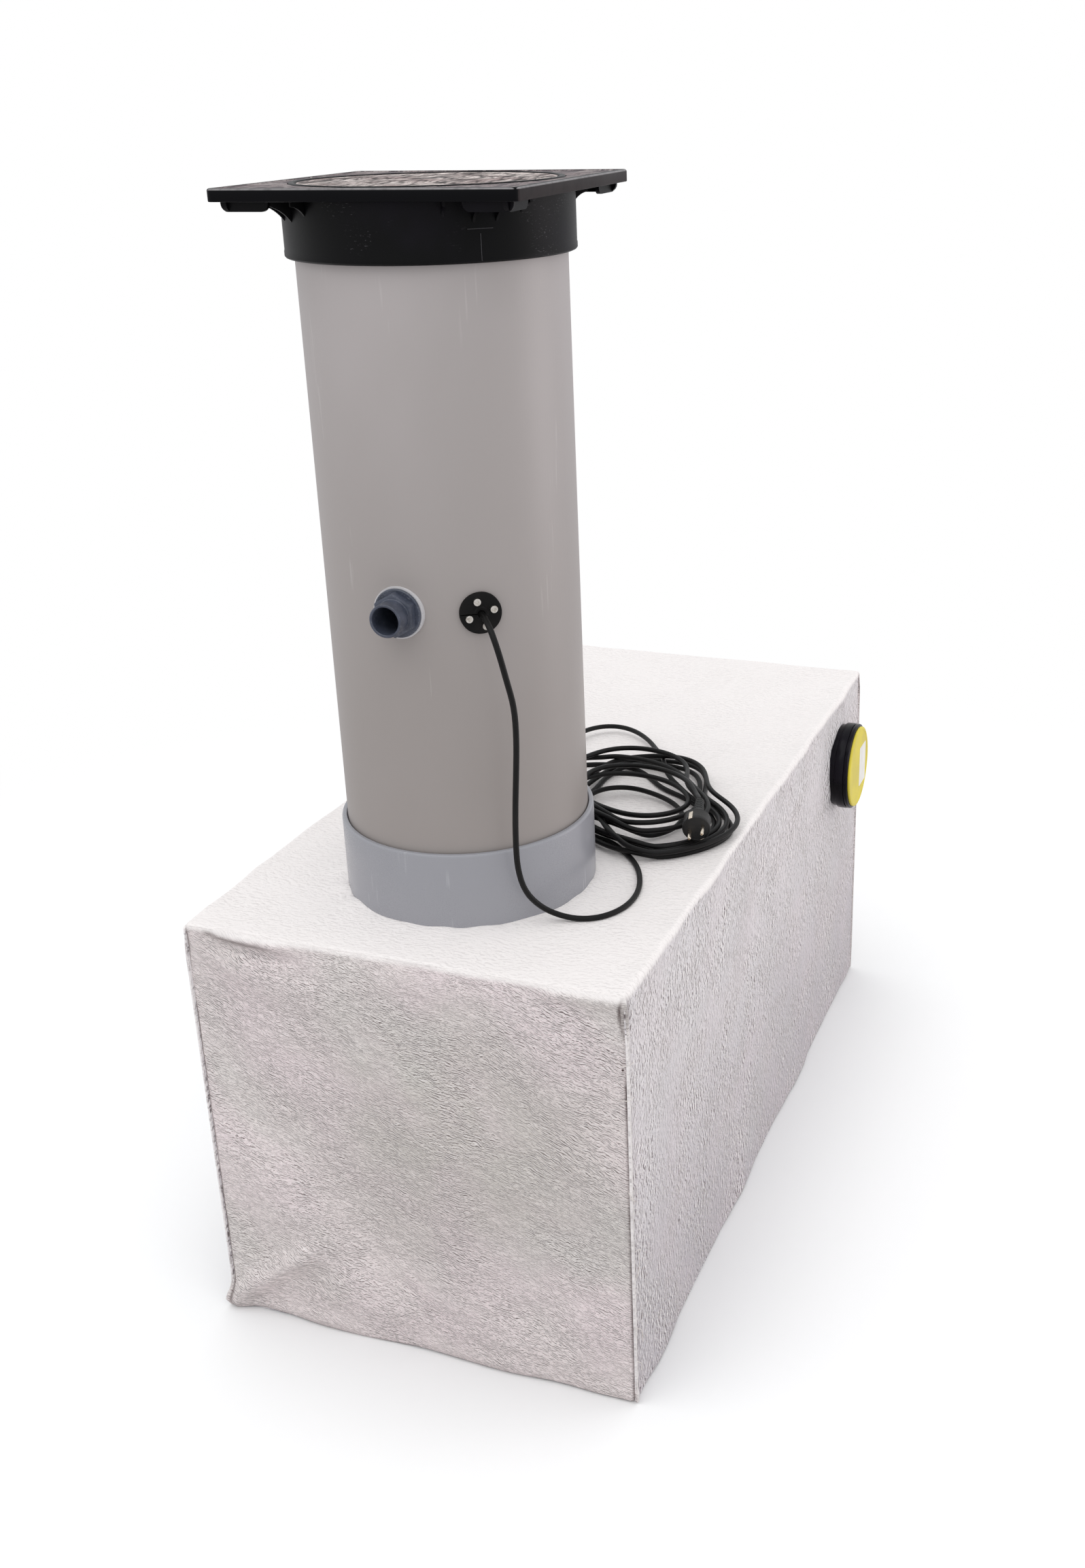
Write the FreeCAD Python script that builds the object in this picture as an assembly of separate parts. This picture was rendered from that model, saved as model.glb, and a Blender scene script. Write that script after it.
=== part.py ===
"""Drainage pump sump: a fabric-wrapped storage crate with a capped riser, outlet, inlet and power lead.

The part stands on the crate's base. Origin at the centre of that base, +Z up, +X towards the inlet,
and the riser near the -Y end. Lengths are in millimetres.
"""
import FreeCAD, Part
import math
import os

from FreeCAD import Vector

# Crate and its fabric wrap, sizes over the fabric
CRATE_WIDTH = 600.0
CRATE_LENGTH = 1200.0
CRATE_HEIGHT = 600.0
FABRIC_THICKNESS = 3.0
CRATE_WALL = 18.0

# Riser shaft
RISER_X = -13.0
RISER_FROM_FRONT = 253.0
PIPE_RADIUS = 157.5
PIPE_WALL = 7.7
PIPE_LENGTH = 877.0
SOCKET_RISE = 100.0
SOCKET_WALL = 7.0
SOCKET_CLEARANCE = 0.7
SOCKET_LEDGE = 6.0
SOCKET_LIP_CHAMFER = 2.0

# Cover on top of the riser, its overhang and insets measured from the pipe's outside
COVER_OVERHANG = 24.0
COVER_CORNER_RADIUS = 9.0
COVER_THICKNESS = 14.0
COVER_EDGE_CHAMFER = 2.5
COVER_TURN = 2.0
THROAT_INSET = 15.5
LID_INSET = 0.5
LID_THICKNESS = 9.0
LID_CLEARANCE = 1.2
LID_GROOVE_INSET = 9.0
LID_GROOVE_WIDTH = 3.0
LID_GROOVE_DEPTH = 1.6
SKIRT_DROP = 66.0
SKIRT_WALL = 9.6
SKIRT_CLEARANCE = 0.8
SKIRT_ROUND = 2.0
EDGE_RIB_INSET = 15.0
EDGE_RIB_THICKNESS = 5.0
EDGE_RIB_DEPTH = 11.0
EDGE_RIB_EDGE_GAP = 10.0
EDGE_RIB_LENGTH = 58.0
EDGE_RIB_END_RADIUS = 9.0
GUSSET_THICKNESS = 3.0
GUSSET_DROP = 30.0
GUSSET_TOE = 6.0
GUSSET_BOW = 0.3
GUSSET_ANGLES = (-15.7, -4.6, 4.6, 15.7)

# Outlet fitting through the riser wall, its rise measured from the crate's top
OUTLET_ANGLE = -88.0
OUTLET_RISE = 408.0
GASKET_RADIUS = 31.5
GASKET_THICKNESS = 2.5
FLANGE_RADIUS = 29.5
FLANGE_THICKNESS = 4.0
HEX_ACROSS = 47.0
HEX_THICKNESS = 9.0
SPIGOT_RADIUS = 20.0
SPIGOT_BORE_RADIUS = 16.6
SPIGOT_LENGTH = 23.0
SPIGOT_CHAMFER = 1.2
OUTLET_HOLE_CLEARANCE = 0.4
LOCKNUT_ACROSS = 52.0
LOCKNUT_THICKNESS = 9.0
SHANK_PAST_NUT = 4.0

# Cable seal through the riser wall, its rise measured from the crate's top
SEAL_ANGLE = -53.0
SEAL_RISE = 406.0
SEAL_RADIUS = 25.0
SEAL_PLATE_THICKNESS = 5.0
SEAL_GROMMET_RADIUS = 22.0
SEAL_SCREW_CIRCLE = 15.6
SEAL_SCREW_TURN = 17.0
SEAL_SCREW_RADIUS = 2.5
SEAL_HEAD_RADIUS = 4.3
SEAL_HEAD_HEIGHT = 4.0
SEAL_HEX_ACROSS = 4.0
SEAL_HEX_DEPTH = 2.4
SEAL_SLIT_WIDTH = 1.2
SEAL_SLIT_DEPTH = 2.0

# Inlet stub with its push-in cap, on the +X wall, its depth measured from the crate's top
INLET_FROM_BACK = 168.0
INLET_DEPTH = 113.0
STUB_RADIUS = 70.0
STUB_BORE_RADIUS = 63.0
STUB_PAST_WALL = 36.0
STUB_INSIDE = 12.0
COLLAR_RADIUS = 73.0
COLLAR_LENGTH = 23.0
COLLAR_ROUND = 2.5
CAP_RADIUS = 68.4
CAP_THICKNESS = 4.0
CAP_PLUG_CLEARANCE = 0.4
CAP_PLUG_LENGTH = 18.0
CAP_PLUG_WALL = 4.0
CAP_EDGE_ROUND = 1.2

# Power lead; its places are measured from the riser's axis on the crate's top
CORD_DIAMETER = 7.4
COIL_HEIGHT = 32.0
COIL_TOP_ROUND = 13.0
PLUG_FACE = (268.0, 146.0, 34.0)
PLUG_AZIMUTH = -76.0
PLUG_DIP = 9.0
PLUG_ROLL = 25.0
PLUG_RADIUS = 19.5
PLUG_BODY_LENGTH = 22.0
PLUG_SHOULDER_LENGTH = 18.0
PLUG_NECK_RADIUS = 8.0
PLUG_RELIEF_LENGTH = 32.0
PLUG_RELIEF_RADIUS = 5.5
PLUG_PIN_RADIUS = 2.4
PLUG_PIN_LENGTH = 19.0
PLUG_PIN_SPACING = 19.0

# Circles that the loose turns of the coil fan around, and those round its open eye: x, y, radius
COIL_LOBES = ((227.0, 164.0, 77.0), (125.0, 345.0, 70.0), (11.0, 475.0, 48.0), (21.0, 275.0, 74.0))
COIL_EYE = ((216.0, 169.0, 24.0), (125.0, 311.0, 20.0), (53.0, 271.0, 18.0))

# The lead from the seal's face down the riser and across the crate's top to the coil
CORD_ROUTE = (
    (108.6, -144.2, 406.0),
    (120.1, -156.0, 398.7),
    (129.4, -164.0, 385.3),
    (135.7, -165.5, 366.5),
    (139.6, -160.2, 338.0),
    (143.1, -150.3, 302.0),
    (141.4, -145.0, 260.0),
    (137.4, -142.5, 215.0),
    (133.2, -141.0, 169.0),
    (130.3, -139.0, 124.0),
    (129.7, -136.8, 84.0),
    (135.0, -129.5, 50.0),
    (148.0, -114.0, 24.0),
    (166.0, -101.0, 9.0),
    (190.0, -94.5, 3.7),
    (214.0, -83.0, 3.7),
    (231.0, -58.0, 3.7),
    (238.0, -26.0, 3.7),
    (234.0, 12.0, 3.7),
    (220.0, 51.0, 3.7),
    (201.0, 83.0, 3.7),
    (176.0, 109.0, 3.7),
    (150.0, 132.0, 3.7),
)

# Places that follow from the sizes above
HALF_WIDTH = CRATE_WIDTH / 2.0
HALF_LENGTH = CRATE_LENGTH / 2.0
RISER_Y = RISER_FROM_FRONT - HALF_LENGTH
RISER_AXIS = Vector(RISER_X, RISER_Y, 0.0)
RISER_FOOT = Vector(RISER_X, RISER_Y, CRATE_HEIGHT)
PIPE_BORE_RADIUS = PIPE_RADIUS - PIPE_WALL
SOCKET_BORE_RADIUS = PIPE_RADIUS + SOCKET_CLEARANCE
SOCKET_RADIUS = SOCKET_BORE_RADIUS + SOCKET_WALL
SOCKET_BOTTOM = CRATE_HEIGHT - FABRIC_THICKNESS - CRATE_WALL
PIPE_BOTTOM = SOCKET_BOTTOM + SOCKET_LEDGE
PIPE_TOP = PIPE_BOTTOM + PIPE_LENGTH
COVER_TOP = PIPE_TOP + COVER_THICKNESS
COVER_SIDE = 2.0 * (PIPE_RADIUS + COVER_OVERHANG)
THROAT_RADIUS = PIPE_RADIUS - THROAT_INSET
LID_RADIUS = PIPE_RADIUS - LID_INSET
LID_GROOVE_RADIUS = LID_RADIUS - LID_GROOVE_INSET
SKIRT_BORE_RADIUS = PIPE_RADIUS + SKIRT_CLEARANCE
SKIRT_RADIUS = SKIRT_BORE_RADIUS + SKIRT_WALL
OUTLET_HEIGHT = CRATE_HEIGHT + OUTLET_RISE
SEAL_HEIGHT = CRATE_HEIGHT + SEAL_RISE
INLET_Y = HALF_LENGTH - INLET_FROM_BACK
INLET_HEIGHT = CRATE_HEIGHT - INLET_DEPTH
STUB_END = HALF_WIDTH + STUB_PAST_WALL
UP = Vector(0.0, 0.0, 1.0)


def box(low, high):
    """A box between two corners."""
    return Part.makeBox(high[0] - low[0], high[1] - low[1], high[2] - low[2], Vector(*low))


def tube(outer, inner, length, base, axis):
    """A straight tube along an axis."""
    wall = Part.makeCylinder(outer, length, base, axis)
    margin = axis * length
    return wall.cut(Part.makeCylinder(inner, 3.0 * length, base - margin, axis))


def edges_at(shape, height):
    """The edges of a shape that lie level at one height."""
    level = []
    for edge in shape.Edges:
        bounds = edge.BoundBox
        if abs(bounds.ZMin - height) < 1e-6 and abs(bounds.ZMax - height) < 1e-6:
            level.append(edge)
    return level


def hex_prism(across, length, start):
    """A hexagonal prism along local Z, with two corners on the local Y axis."""
    corner = across / math.sqrt(3.0)
    points = []
    for index in range(7):
        turn = math.radians(60.0 * index + 90.0)
        points.append(Vector(corner * math.cos(turn), corner * math.sin(turn), start))
    face = Part.Face(Part.makePolygon(points))
    return face.extrude(Vector(0.0, 0.0, length))


def on_riser(shape, angle, height):
    """Place a shape whose local Z runs out of the riser's axis, X round it and Y up."""
    turn = math.radians(angle)
    outward = Vector(math.cos(turn), math.sin(turn), 0.0)
    rotation = FreeCAD.Rotation(UP.cross(outward), UP, outward, "ZXY")
    placed = shape.copy()
    placed.Placement = FreeCAD.Placement(RISER_AXIS + UP * height, rotation)
    return placed


def riser_core(radius):
    """The riser's own cylinder in the local frame of a piece on its wall."""
    reach = 2.0 * PIPE_RADIUS
    return Part.makeCylinder(radius, 2.0 * reach, Vector(0.0, -reach, 0.0), Vector(0.0, 1.0, 0.0))


def local_cylinder(radius, start, end, x=0.0, y=0.0):
    """A cylinder along local Z between two distances from the riser's axis."""
    return Part.makeCylinder(radius, end - start, Vector(x, y, start), UP)


def fabric_panels():
    """The six panels of the geotextile wrap."""
    skin = FABRIC_THICKNESS
    x, y, top = HALF_WIDTH, HALF_LENGTH, CRATE_HEIGHT
    hole = Part.makeCylinder(SOCKET_RADIUS, CRATE_HEIGHT, RISER_AXIS + UP * SOCKET_BOTTOM, UP)
    inlet = inlet_cylinder(STUB_RADIUS, HALF_WIDTH - CRATE_WALL, STUB_END)
    return {
        "fabric_base": box((-x, -y, 0.0), (x, y, skin)),
        "fabric_top": box((-x, -y, top - skin), (x, y, top)).cut(hole),
        "fabric_front": box((-x, -y, skin), (x, -y + skin, top - skin)),
        "fabric_back": box((-x, y - skin, skin), (x, y, top - skin)),
        "fabric_left": box((-x, -y + skin, skin), (-x + skin, y - skin, top - skin)),
        "fabric_right": box((x - skin, -y + skin, skin), (x, y - skin, top - skin)).cut(inlet),
    }


def crate_panels():
    """The six plates of the hollow crate inside the wrap."""
    x = HALF_WIDTH - FABRIC_THICKNESS
    y = HALF_LENGTH - FABRIC_THICKNESS
    low = FABRIC_THICKNESS
    top = CRATE_HEIGHT - FABRIC_THICKNESS
    wall = CRATE_WALL
    hole = Part.makeCylinder(SOCKET_RADIUS, CRATE_HEIGHT, RISER_AXIS + UP * (SOCKET_BOTTOM - wall), UP)
    inlet = inlet_cylinder(STUB_RADIUS, x - 2.0 * wall, STUB_END)
    return {
        "crate_base": box((-x, -y, low), (x, y, low + wall)),
        "crate_top": box((-x, -y, top - wall), (x, y, top)).cut(hole),
        "crate_front": box((-x, -y, low + wall), (x, -y + wall, top - wall)),
        "crate_back": box((-x, y - wall, low + wall), (x, y, top - wall)),
        "crate_left": box((-x, -y + wall, low + wall), (-x + wall, y - wall, top - wall)),
        "crate_right": box((x - wall, -y + wall, low + wall), (x, y - wall, top - wall)).cut(inlet),
    }


def inlet_cylinder(radius, start, end):
    """A cylinder on the inlet's axis between two X places."""
    base = Vector(start, INLET_Y, INLET_HEIGHT)
    return Part.makeCylinder(radius, end - start, base, Vector(1.0, 0.0, 0.0))


def riser_socket():
    """The socket that stands in the crate's top plate, with a ledge under the pipe."""
    length = CRATE_HEIGHT + SOCKET_RISE - SOCKET_BOTTOM
    outer = Part.makeCylinder(SOCKET_RADIUS, length, RISER_AXIS + UP * SOCKET_BOTTOM, UP)
    rim = edges_at(outer, SOCKET_BOTTOM + length)
    outer = outer.makeChamfer(SOCKET_LIP_CHAMFER, rim)
    seat = Part.makeCylinder(SOCKET_BORE_RADIUS, length, RISER_AXIS + UP * PIPE_BOTTOM, UP)
    way = Part.makeCylinder(PIPE_BORE_RADIUS, length, RISER_AXIS + UP * (SOCKET_BOTTOM - SOCKET_LEDGE), UP)
    return outer.cut(seat).cut(way)


def riser_pipe():
    """The riser pipe, drilled for the outlet and the cable seal."""
    pipe = tube(PIPE_RADIUS, PIPE_BORE_RADIUS, PIPE_LENGTH, RISER_AXIS + UP * PIPE_BOTTOM, UP)
    outlet = local_cylinder(SPIGOT_RADIUS + OUTLET_HOLE_CLEARANCE, 0.0, 2.0 * PIPE_RADIUS)
    seal = local_cylinder(SEAL_GROMMET_RADIUS, 0.0, 2.0 * PIPE_RADIUS)
    pipe = pipe.cut(on_riser(outlet, OUTLET_ANGLE, OUTLET_HEIGHT))
    return pipe.cut(on_riser(seal, SEAL_ANGLE, SEAL_HEIGHT))


def turned_cover(shape):
    """Turn a piece of the cover about the riser's axis."""
    turned = shape.copy()
    turned.rotate(RISER_AXIS, UP, COVER_TURN)
    return turned


def cover_frame():
    """The square cover plate with a round recess for the lid and a throat below it."""
    half = COVER_SIDE / 2.0
    low = (RISER_X - half, RISER_Y - half, PIPE_TOP)
    plate = box(low, (RISER_X + half, RISER_Y + half, COVER_TOP))
    corners = [edge for edge in plate.Edges if edge.BoundBox.ZLength > COVER_THICKNESS / 2.0]
    plate = plate.makeFillet(COVER_CORNER_RADIUS, corners)
    plate = plate.makeChamfer(COVER_EDGE_CHAMFER, edges_at(plate, COVER_TOP))
    below = RISER_AXIS + UP * (PIPE_TOP - COVER_THICKNESS)
    throat = Part.makeCylinder(THROAT_RADIUS, 3.0 * COVER_THICKNESS, below, UP)
    ledge = RISER_AXIS + UP * (COVER_TOP - LID_THICKNESS)
    seat = Part.makeCylinder(LID_RADIUS + LID_CLEARANCE, COVER_THICKNESS, ledge, UP)
    return turned_cover(plate.cut(throat).cut(seat))


def cover_lid():
    """The round lid, flush with the frame, with a ring groove near its edge."""
    lid = Part.makeCylinder(LID_RADIUS, LID_THICKNESS, RISER_AXIS + UP * (COVER_TOP - LID_THICKNESS), UP)
    groove = tube(
        LID_GROOVE_RADIUS + LID_GROOVE_WIDTH,
        LID_GROOVE_RADIUS,
        LID_THICKNESS,
        RISER_AXIS + UP * (COVER_TOP - LID_GROOVE_DEPTH),
        UP,
    )
    return lid.cut(groove)


def cover_skirt():
    """The round collar under the plate that slips over the riser's top."""
    bottom = PIPE_TOP - SKIRT_DROP
    skirt = Part.makeCylinder(SKIRT_RADIUS, SKIRT_DROP, RISER_AXIS + UP * bottom, UP)
    skirt = skirt.makeFillet(SKIRT_ROUND, edges_at(skirt, bottom))
    below = RISER_AXIS + UP * (bottom - SKIRT_DROP)
    return skirt.cut(Part.makeCylinder(SKIRT_BORE_RADIUS, 3.0 * SKIRT_DROP, below, UP))


def skirt_core():
    """The space inside the skirt's outer face."""
    return Part.makeCylinder(SKIRT_RADIUS, SKIRT_DROP, RISER_AXIS + UP * (PIPE_TOP - SKIRT_DROP), UP)


def edge_rib(toward):
    """One rib under the plate's +X edge, on the side of the corner that lies toward +Y or -Y."""
    outside = COVER_SIDE / 2.0 - EDGE_RIB_INSET
    far = COVER_SIDE / 2.0 - EDGE_RIB_EDGE_GAP
    start, end = sorted((toward * far, toward * (far - EDGE_RIB_LENGTH)))
    rib = box((outside - EDGE_RIB_THICKNESS, start, -EDGE_RIB_DEPTH), (outside, end, 0.0))
    ends = []
    for edge in rib.Edges:
        bounds = edge.BoundBox
        if bounds.XLength > EDGE_RIB_THICKNESS / 2.0 and abs(bounds.ZMin + EDGE_RIB_DEPTH) < 1e-6:
            if bounds.YLength < EDGE_RIB_THICKNESS:
                ends.append(edge)
    return rib.makeFillet(EDGE_RIB_END_RADIUS, ends)


def cover_edge_ribs():
    """The short ribs under the plate's edges, which cross in pairs at the corners."""
    crosses = []
    for side in range(4):
        along = edge_rib(1.0)
        across = edge_rib(-1.0)
        across.rotate(Vector(0.0, 0.0, 0.0), UP, 90.0)
        cross = along.fuse(across).removeSplitter()
        cross.rotate(Vector(0.0, 0.0, 0.0), UP, 90.0 * side)
        cross.translate(RISER_AXIS + UP * PIPE_TOP)
        crosses.append(turned_cover(cross).cut(skirt_core()))
    return Part.makeCompound(crosses)


def gusset(angle):
    """One curved fin from the skirt out to the line of the edge ribs, at an angle from the +X side."""
    side = math.radians((angle + 45.0) % 90.0 - 45.0)
    rib_face = COVER_SIDE / 2.0 - EDGE_RIB_INSET - EDGE_RIB_THICKNESS
    toe = rib_face / math.cos(side) - GUSSET_THICKNESS / 2.0 * abs(math.tan(side))
    heel = SKIRT_RADIUS - GUSSET_THICKNESS
    top_heel = Vector(heel, 0.0, 0.0)
    top_toe = Vector(toe, 0.0, 0.0)
    low_toe = Vector(toe, 0.0, -GUSSET_TOE)
    low_heel = Vector(heel, 0.0, -GUSSET_DROP)
    bow_x = heel + GUSSET_BOW * (toe - heel)
    bow = Vector(bow_x, 0.0, -GUSSET_TOE - GUSSET_BOW * (GUSSET_DROP - GUSSET_TOE))
    outline = Part.Wire([
        Part.makeLine(top_heel, top_toe),
        Part.makeLine(top_toe, low_toe),
        Part.Arc(low_toe, bow, low_heel).toShape(),
        Part.makeLine(low_heel, top_heel),
    ])
    fin = Part.Face(outline).extrude(Vector(0.0, GUSSET_THICKNESS, 0.0))
    fin.translate(Vector(0.0, -GUSSET_THICKNESS / 2.0, 0.0))
    fin.rotate(Vector(0.0, 0.0, 0.0), UP, angle)
    fin.translate(RISER_AXIS + UP * PIPE_TOP)
    return turned_cover(fin).cut(skirt_core())


def cover_gussets():
    """Four fins under each corner of the cover: the inner two meet the ribs, the outer two end free."""
    fins = []
    for corner in range(4):
        for offset in GUSSET_ANGLES:
            fins.append(gusset(45.0 + 90.0 * corner + offset))
    return Part.makeCompound(fins)


def outlet_gasket():
    """The pale gasket that saddles the pipe under the outlet's flange."""
    face = PIPE_RADIUS + GASKET_THICKNESS
    ring = local_cylinder(GASKET_RADIUS, 0.0, face).cut(riser_core(PIPE_RADIUS))
    ring = ring.cut(local_cylinder(SPIGOT_RADIUS, 0.0, 2.0 * face))
    return on_riser(ring, OUTLET_ANGLE, OUTLET_HEIGHT)


def outlet_fitting():
    """The outlet: spigot, hexagon, flange and a shank through the wall, bored from end to end."""
    flange = PIPE_RADIUS + GASKET_THICKNESS
    hexagon = flange + FLANGE_THICKNESS
    spigot = hexagon + HEX_THICKNESS
    end = spigot + SPIGOT_LENGTH
    inner = PIPE_BORE_RADIUS - LOCKNUT_THICKNESS - SHANK_PAST_NUT
    shank = local_cylinder(SPIGOT_RADIUS, inner, end)
    shank = shank.makeChamfer(SPIGOT_CHAMFER, edges_at(shank, end))
    body = shank.fuse(local_cylinder(FLANGE_RADIUS, flange, hexagon))
    body = body.fuse(hex_prism(HEX_ACROSS, HEX_THICKNESS, hexagon)).removeSplitter()
    body = body.cut(local_cylinder(SPIGOT_BORE_RADIUS, 0.0, 2.0 * end))
    return on_riser(body, OUTLET_ANGLE, OUTLET_HEIGHT)


def outlet_locknut():
    """The hexagonal nut that draws the outlet tight from inside the pipe."""
    start = PIPE_BORE_RADIUS - LOCKNUT_THICKNESS
    nut = hex_prism(LOCKNUT_ACROSS, LOCKNUT_THICKNESS, start).common(riser_core(PIPE_BORE_RADIUS))
    nut = nut.cut(local_cylinder(SPIGOT_RADIUS, 0.0, 2.0 * PIPE_RADIUS))
    return on_riser(nut, OUTLET_ANGLE, OUTLET_HEIGHT)


def seal_screw_places():
    """The four screws' places on the cable seal's face."""
    places = []
    for index in range(4):
        turn = math.radians(SEAL_SCREW_TURN + 90.0 * index)
        places.append((SEAL_SCREW_CIRCLE * math.cos(turn), SEAL_SCREW_CIRCLE * math.sin(turn)))
    return places


def without_screws(shape):
    """Drill a piece of the cable seal for its screws."""
    for x, y in seal_screw_places():
        shape = shape.cut(local_cylinder(SEAL_SCREW_RADIUS, 0.0, 2.0 * PIPE_RADIUS, x, y))
    return shape


def seal_face():
    """Distance of the cable seal's outer face from the riser's axis."""
    return PIPE_RADIUS + SEAL_PLATE_THICKNESS


def cable_seal_plate():
    """The seal's outer plate, slit from one side to the cord."""
    plate = local_cylinder(SEAL_RADIUS, 0.0, seal_face()).cut(riser_core(PIPE_RADIUS))
    slit_low = (-2.0 * SEAL_RADIUS, -SEAL_SLIT_WIDTH / 2.0, seal_face() - SEAL_SLIT_DEPTH)
    slit_high = (-CORD_DIAMETER / 2.0, SEAL_SLIT_WIDTH / 2.0, 2.0 * seal_face())
    return on_riser(without_screws(plate.cut(box(slit_low, slit_high))), SEAL_ANGLE, SEAL_HEIGHT)


def cable_seal_grommet():
    """The rubber grommet that fills the hole in the riser's wall."""
    rubber = local_cylinder(SEAL_GROMMET_RADIUS, 0.0, 2.0 * PIPE_RADIUS).common(riser_core(PIPE_RADIUS))
    rubber = rubber.cut(riser_core(PIPE_BORE_RADIUS))
    return on_riser(without_screws(rubber), SEAL_ANGLE, SEAL_HEIGHT)


def cable_seal_back_plate():
    """The seal's inner plate, which the screws draw against the wall."""
    start = PIPE_BORE_RADIUS - SEAL_PLATE_THICKNESS
    plate = local_cylinder(SEAL_RADIUS, start, PIPE_RADIUS).common(riser_core(PIPE_BORE_RADIUS))
    return on_riser(without_screws(plate), SEAL_ANGLE, SEAL_HEIGHT)


def cable_seal_screws():
    """Four socket-head screws through the seal."""
    screws = []
    top = seal_face() + SEAL_HEAD_HEIGHT
    for x, y in seal_screw_places():
        shank = local_cylinder(SEAL_SCREW_RADIUS, PIPE_BORE_RADIUS - SEAL_PLATE_THICKNESS, seal_face(), x, y)
        head = local_cylinder(SEAL_HEAD_RADIUS, seal_face(), top, x, y)
        recess = hex_prism(SEAL_HEX_ACROSS, SEAL_HEX_DEPTH, top - SEAL_HEX_DEPTH)
        recess.translate(Vector(x, y, 0.0))
        screws.append(on_riser(shank.fuse(head).cut(recess), SEAL_ANGLE, SEAL_HEIGHT))
    return Part.makeCompound(screws)


def inlet_stub():
    """The pipe stub through the fabric and the crate's wall."""
    start = HALF_WIDTH - FABRIC_THICKNESS - CRATE_WALL - STUB_INSIDE
    stub = inlet_cylinder(STUB_RADIUS, start, STUB_END)
    return stub.cut(inlet_cylinder(STUB_BORE_RADIUS, start - STUB_INSIDE, STUB_END + STUB_INSIDE))


def inlet_collar():
    """The ring round the stub's mouth."""
    ring = inlet_cylinder(COLLAR_RADIUS, STUB_END - COLLAR_LENGTH, STUB_END)
    rims = [edge for edge in ring.Edges if edge.BoundBox.XLength < 1e-6]
    ring = ring.makeFillet(COLLAR_ROUND, rims)
    return ring.cut(inlet_cylinder(STUB_RADIUS, STUB_END - 2.0 * COLLAR_LENGTH, STUB_END + COLLAR_LENGTH))


def inlet_cap():
    """The push-in cap: a flat disc over the mouth and a hollow plug inside it."""
    disc = inlet_cylinder(CAP_RADIUS, STUB_END, STUB_END + CAP_THICKNESS)
    face = [edge for edge in disc.Edges if edge.BoundBox.XMin > STUB_END + CAP_THICKNESS / 2.0]
    disc = disc.makeFillet(CAP_EDGE_ROUND, face)
    plug_radius = STUB_BORE_RADIUS - CAP_PLUG_CLEARANCE
    plug = inlet_cylinder(plug_radius, STUB_END - CAP_PLUG_LENGTH, STUB_END)
    hollow = inlet_cylinder(plug_radius - CAP_PLUG_WALL, STUB_END - 2.0 * CAP_PLUG_LENGTH, STUB_END)
    return disc.fuse(plug.cut(hollow)).removeSplitter()


def plug_placement():
    """Where the plug lies: local Z runs out of its face along the pins."""
    turn = math.radians(PLUG_AZIMUTH)
    dip = math.radians(PLUG_DIP)
    ahead = Vector(math.cos(turn) * math.cos(dip), math.sin(turn) * math.cos(dip), -math.sin(dip))
    side = UP.cross(ahead)
    side.normalize()
    rotation = FreeCAD.Rotation(side, ahead.cross(side), ahead, "ZXY")
    rolled = rotation.multiply(FreeCAD.Rotation(UP, PLUG_ROLL))
    return FreeCAD.Placement(RISER_FOOT + Vector(*PLUG_FACE), rolled)


def plug_body():
    """The moulded plug with its shoulder and tapered strain relief."""
    shoulder = -PLUG_BODY_LENGTH - PLUG_SHOULDER_LENGTH
    end = shoulder - PLUG_RELIEF_LENGTH
    outline = Part.makePolygon([
        Vector(0.0, 0.0, 0.0),
        Vector(PLUG_RADIUS, 0.0, 0.0),
        Vector(PLUG_RADIUS, 0.0, -PLUG_BODY_LENGTH),
        Vector(PLUG_NECK_RADIUS, 0.0, shoulder),
        Vector(PLUG_RELIEF_RADIUS, 0.0, end),
        Vector(0.0, 0.0, end),
        Vector(0.0, 0.0, 0.0),
    ])
    body = Part.Face(outline).revolve(Vector(0.0, 0.0, 0.0), UP, 360.0)
    body.Placement = plug_placement()
    return body


def plug_pins():
    """The plug's two round pins."""
    pins = []
    for side in (-1.0, 1.0):
        root = Vector(side * PLUG_PIN_SPACING / 2.0, 0.0, 0.0)
        pin = Part.makeCylinder(PLUG_PIN_RADIUS, PLUG_PIN_LENGTH, root, UP)
        pin.Placement = plug_placement()
        pins.append(pin)
    return Part.makeCompound(pins)


def belt_face(circles, height):
    """The flat face inside a belt stretched round circles that are listed counter-clockwise."""
    count = len(circles)
    normals = []
    for index in range(count):
        x1, y1, r1 = circles[index]
        x2, y2, r2 = circles[(index + 1) % count]
        along = Vector(x2 - x1, y2 - y1, 0.0)
        lean = (r1 - r2) / along.Length
        along.normalize()
        across = Vector(along.y, -along.x, 0.0)
        normals.append(along * lean + across * math.sqrt(1.0 - lean * lean))
    edges = []
    for index in range(count):
        x1, y1, r1 = circles[index]
        x2, y2, r2 = circles[(index + 1) % count]
        centre = Vector(x2, y2, height)
        start = Vector(x1, y1, height) + normals[index] * r1
        meet = centre + normals[index] * r2
        leave = centre + normals[(index + 1) % count] * r2
        middle = normals[index] + normals[(index + 1) % count]
        middle.normalize()
        edges.append(Part.makeLine(start, meet))
        edges.append(Part.Arc(meet, centre + middle * r2, leave).toShape())
    return Part.Face(Part.Wire(edges))


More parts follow.
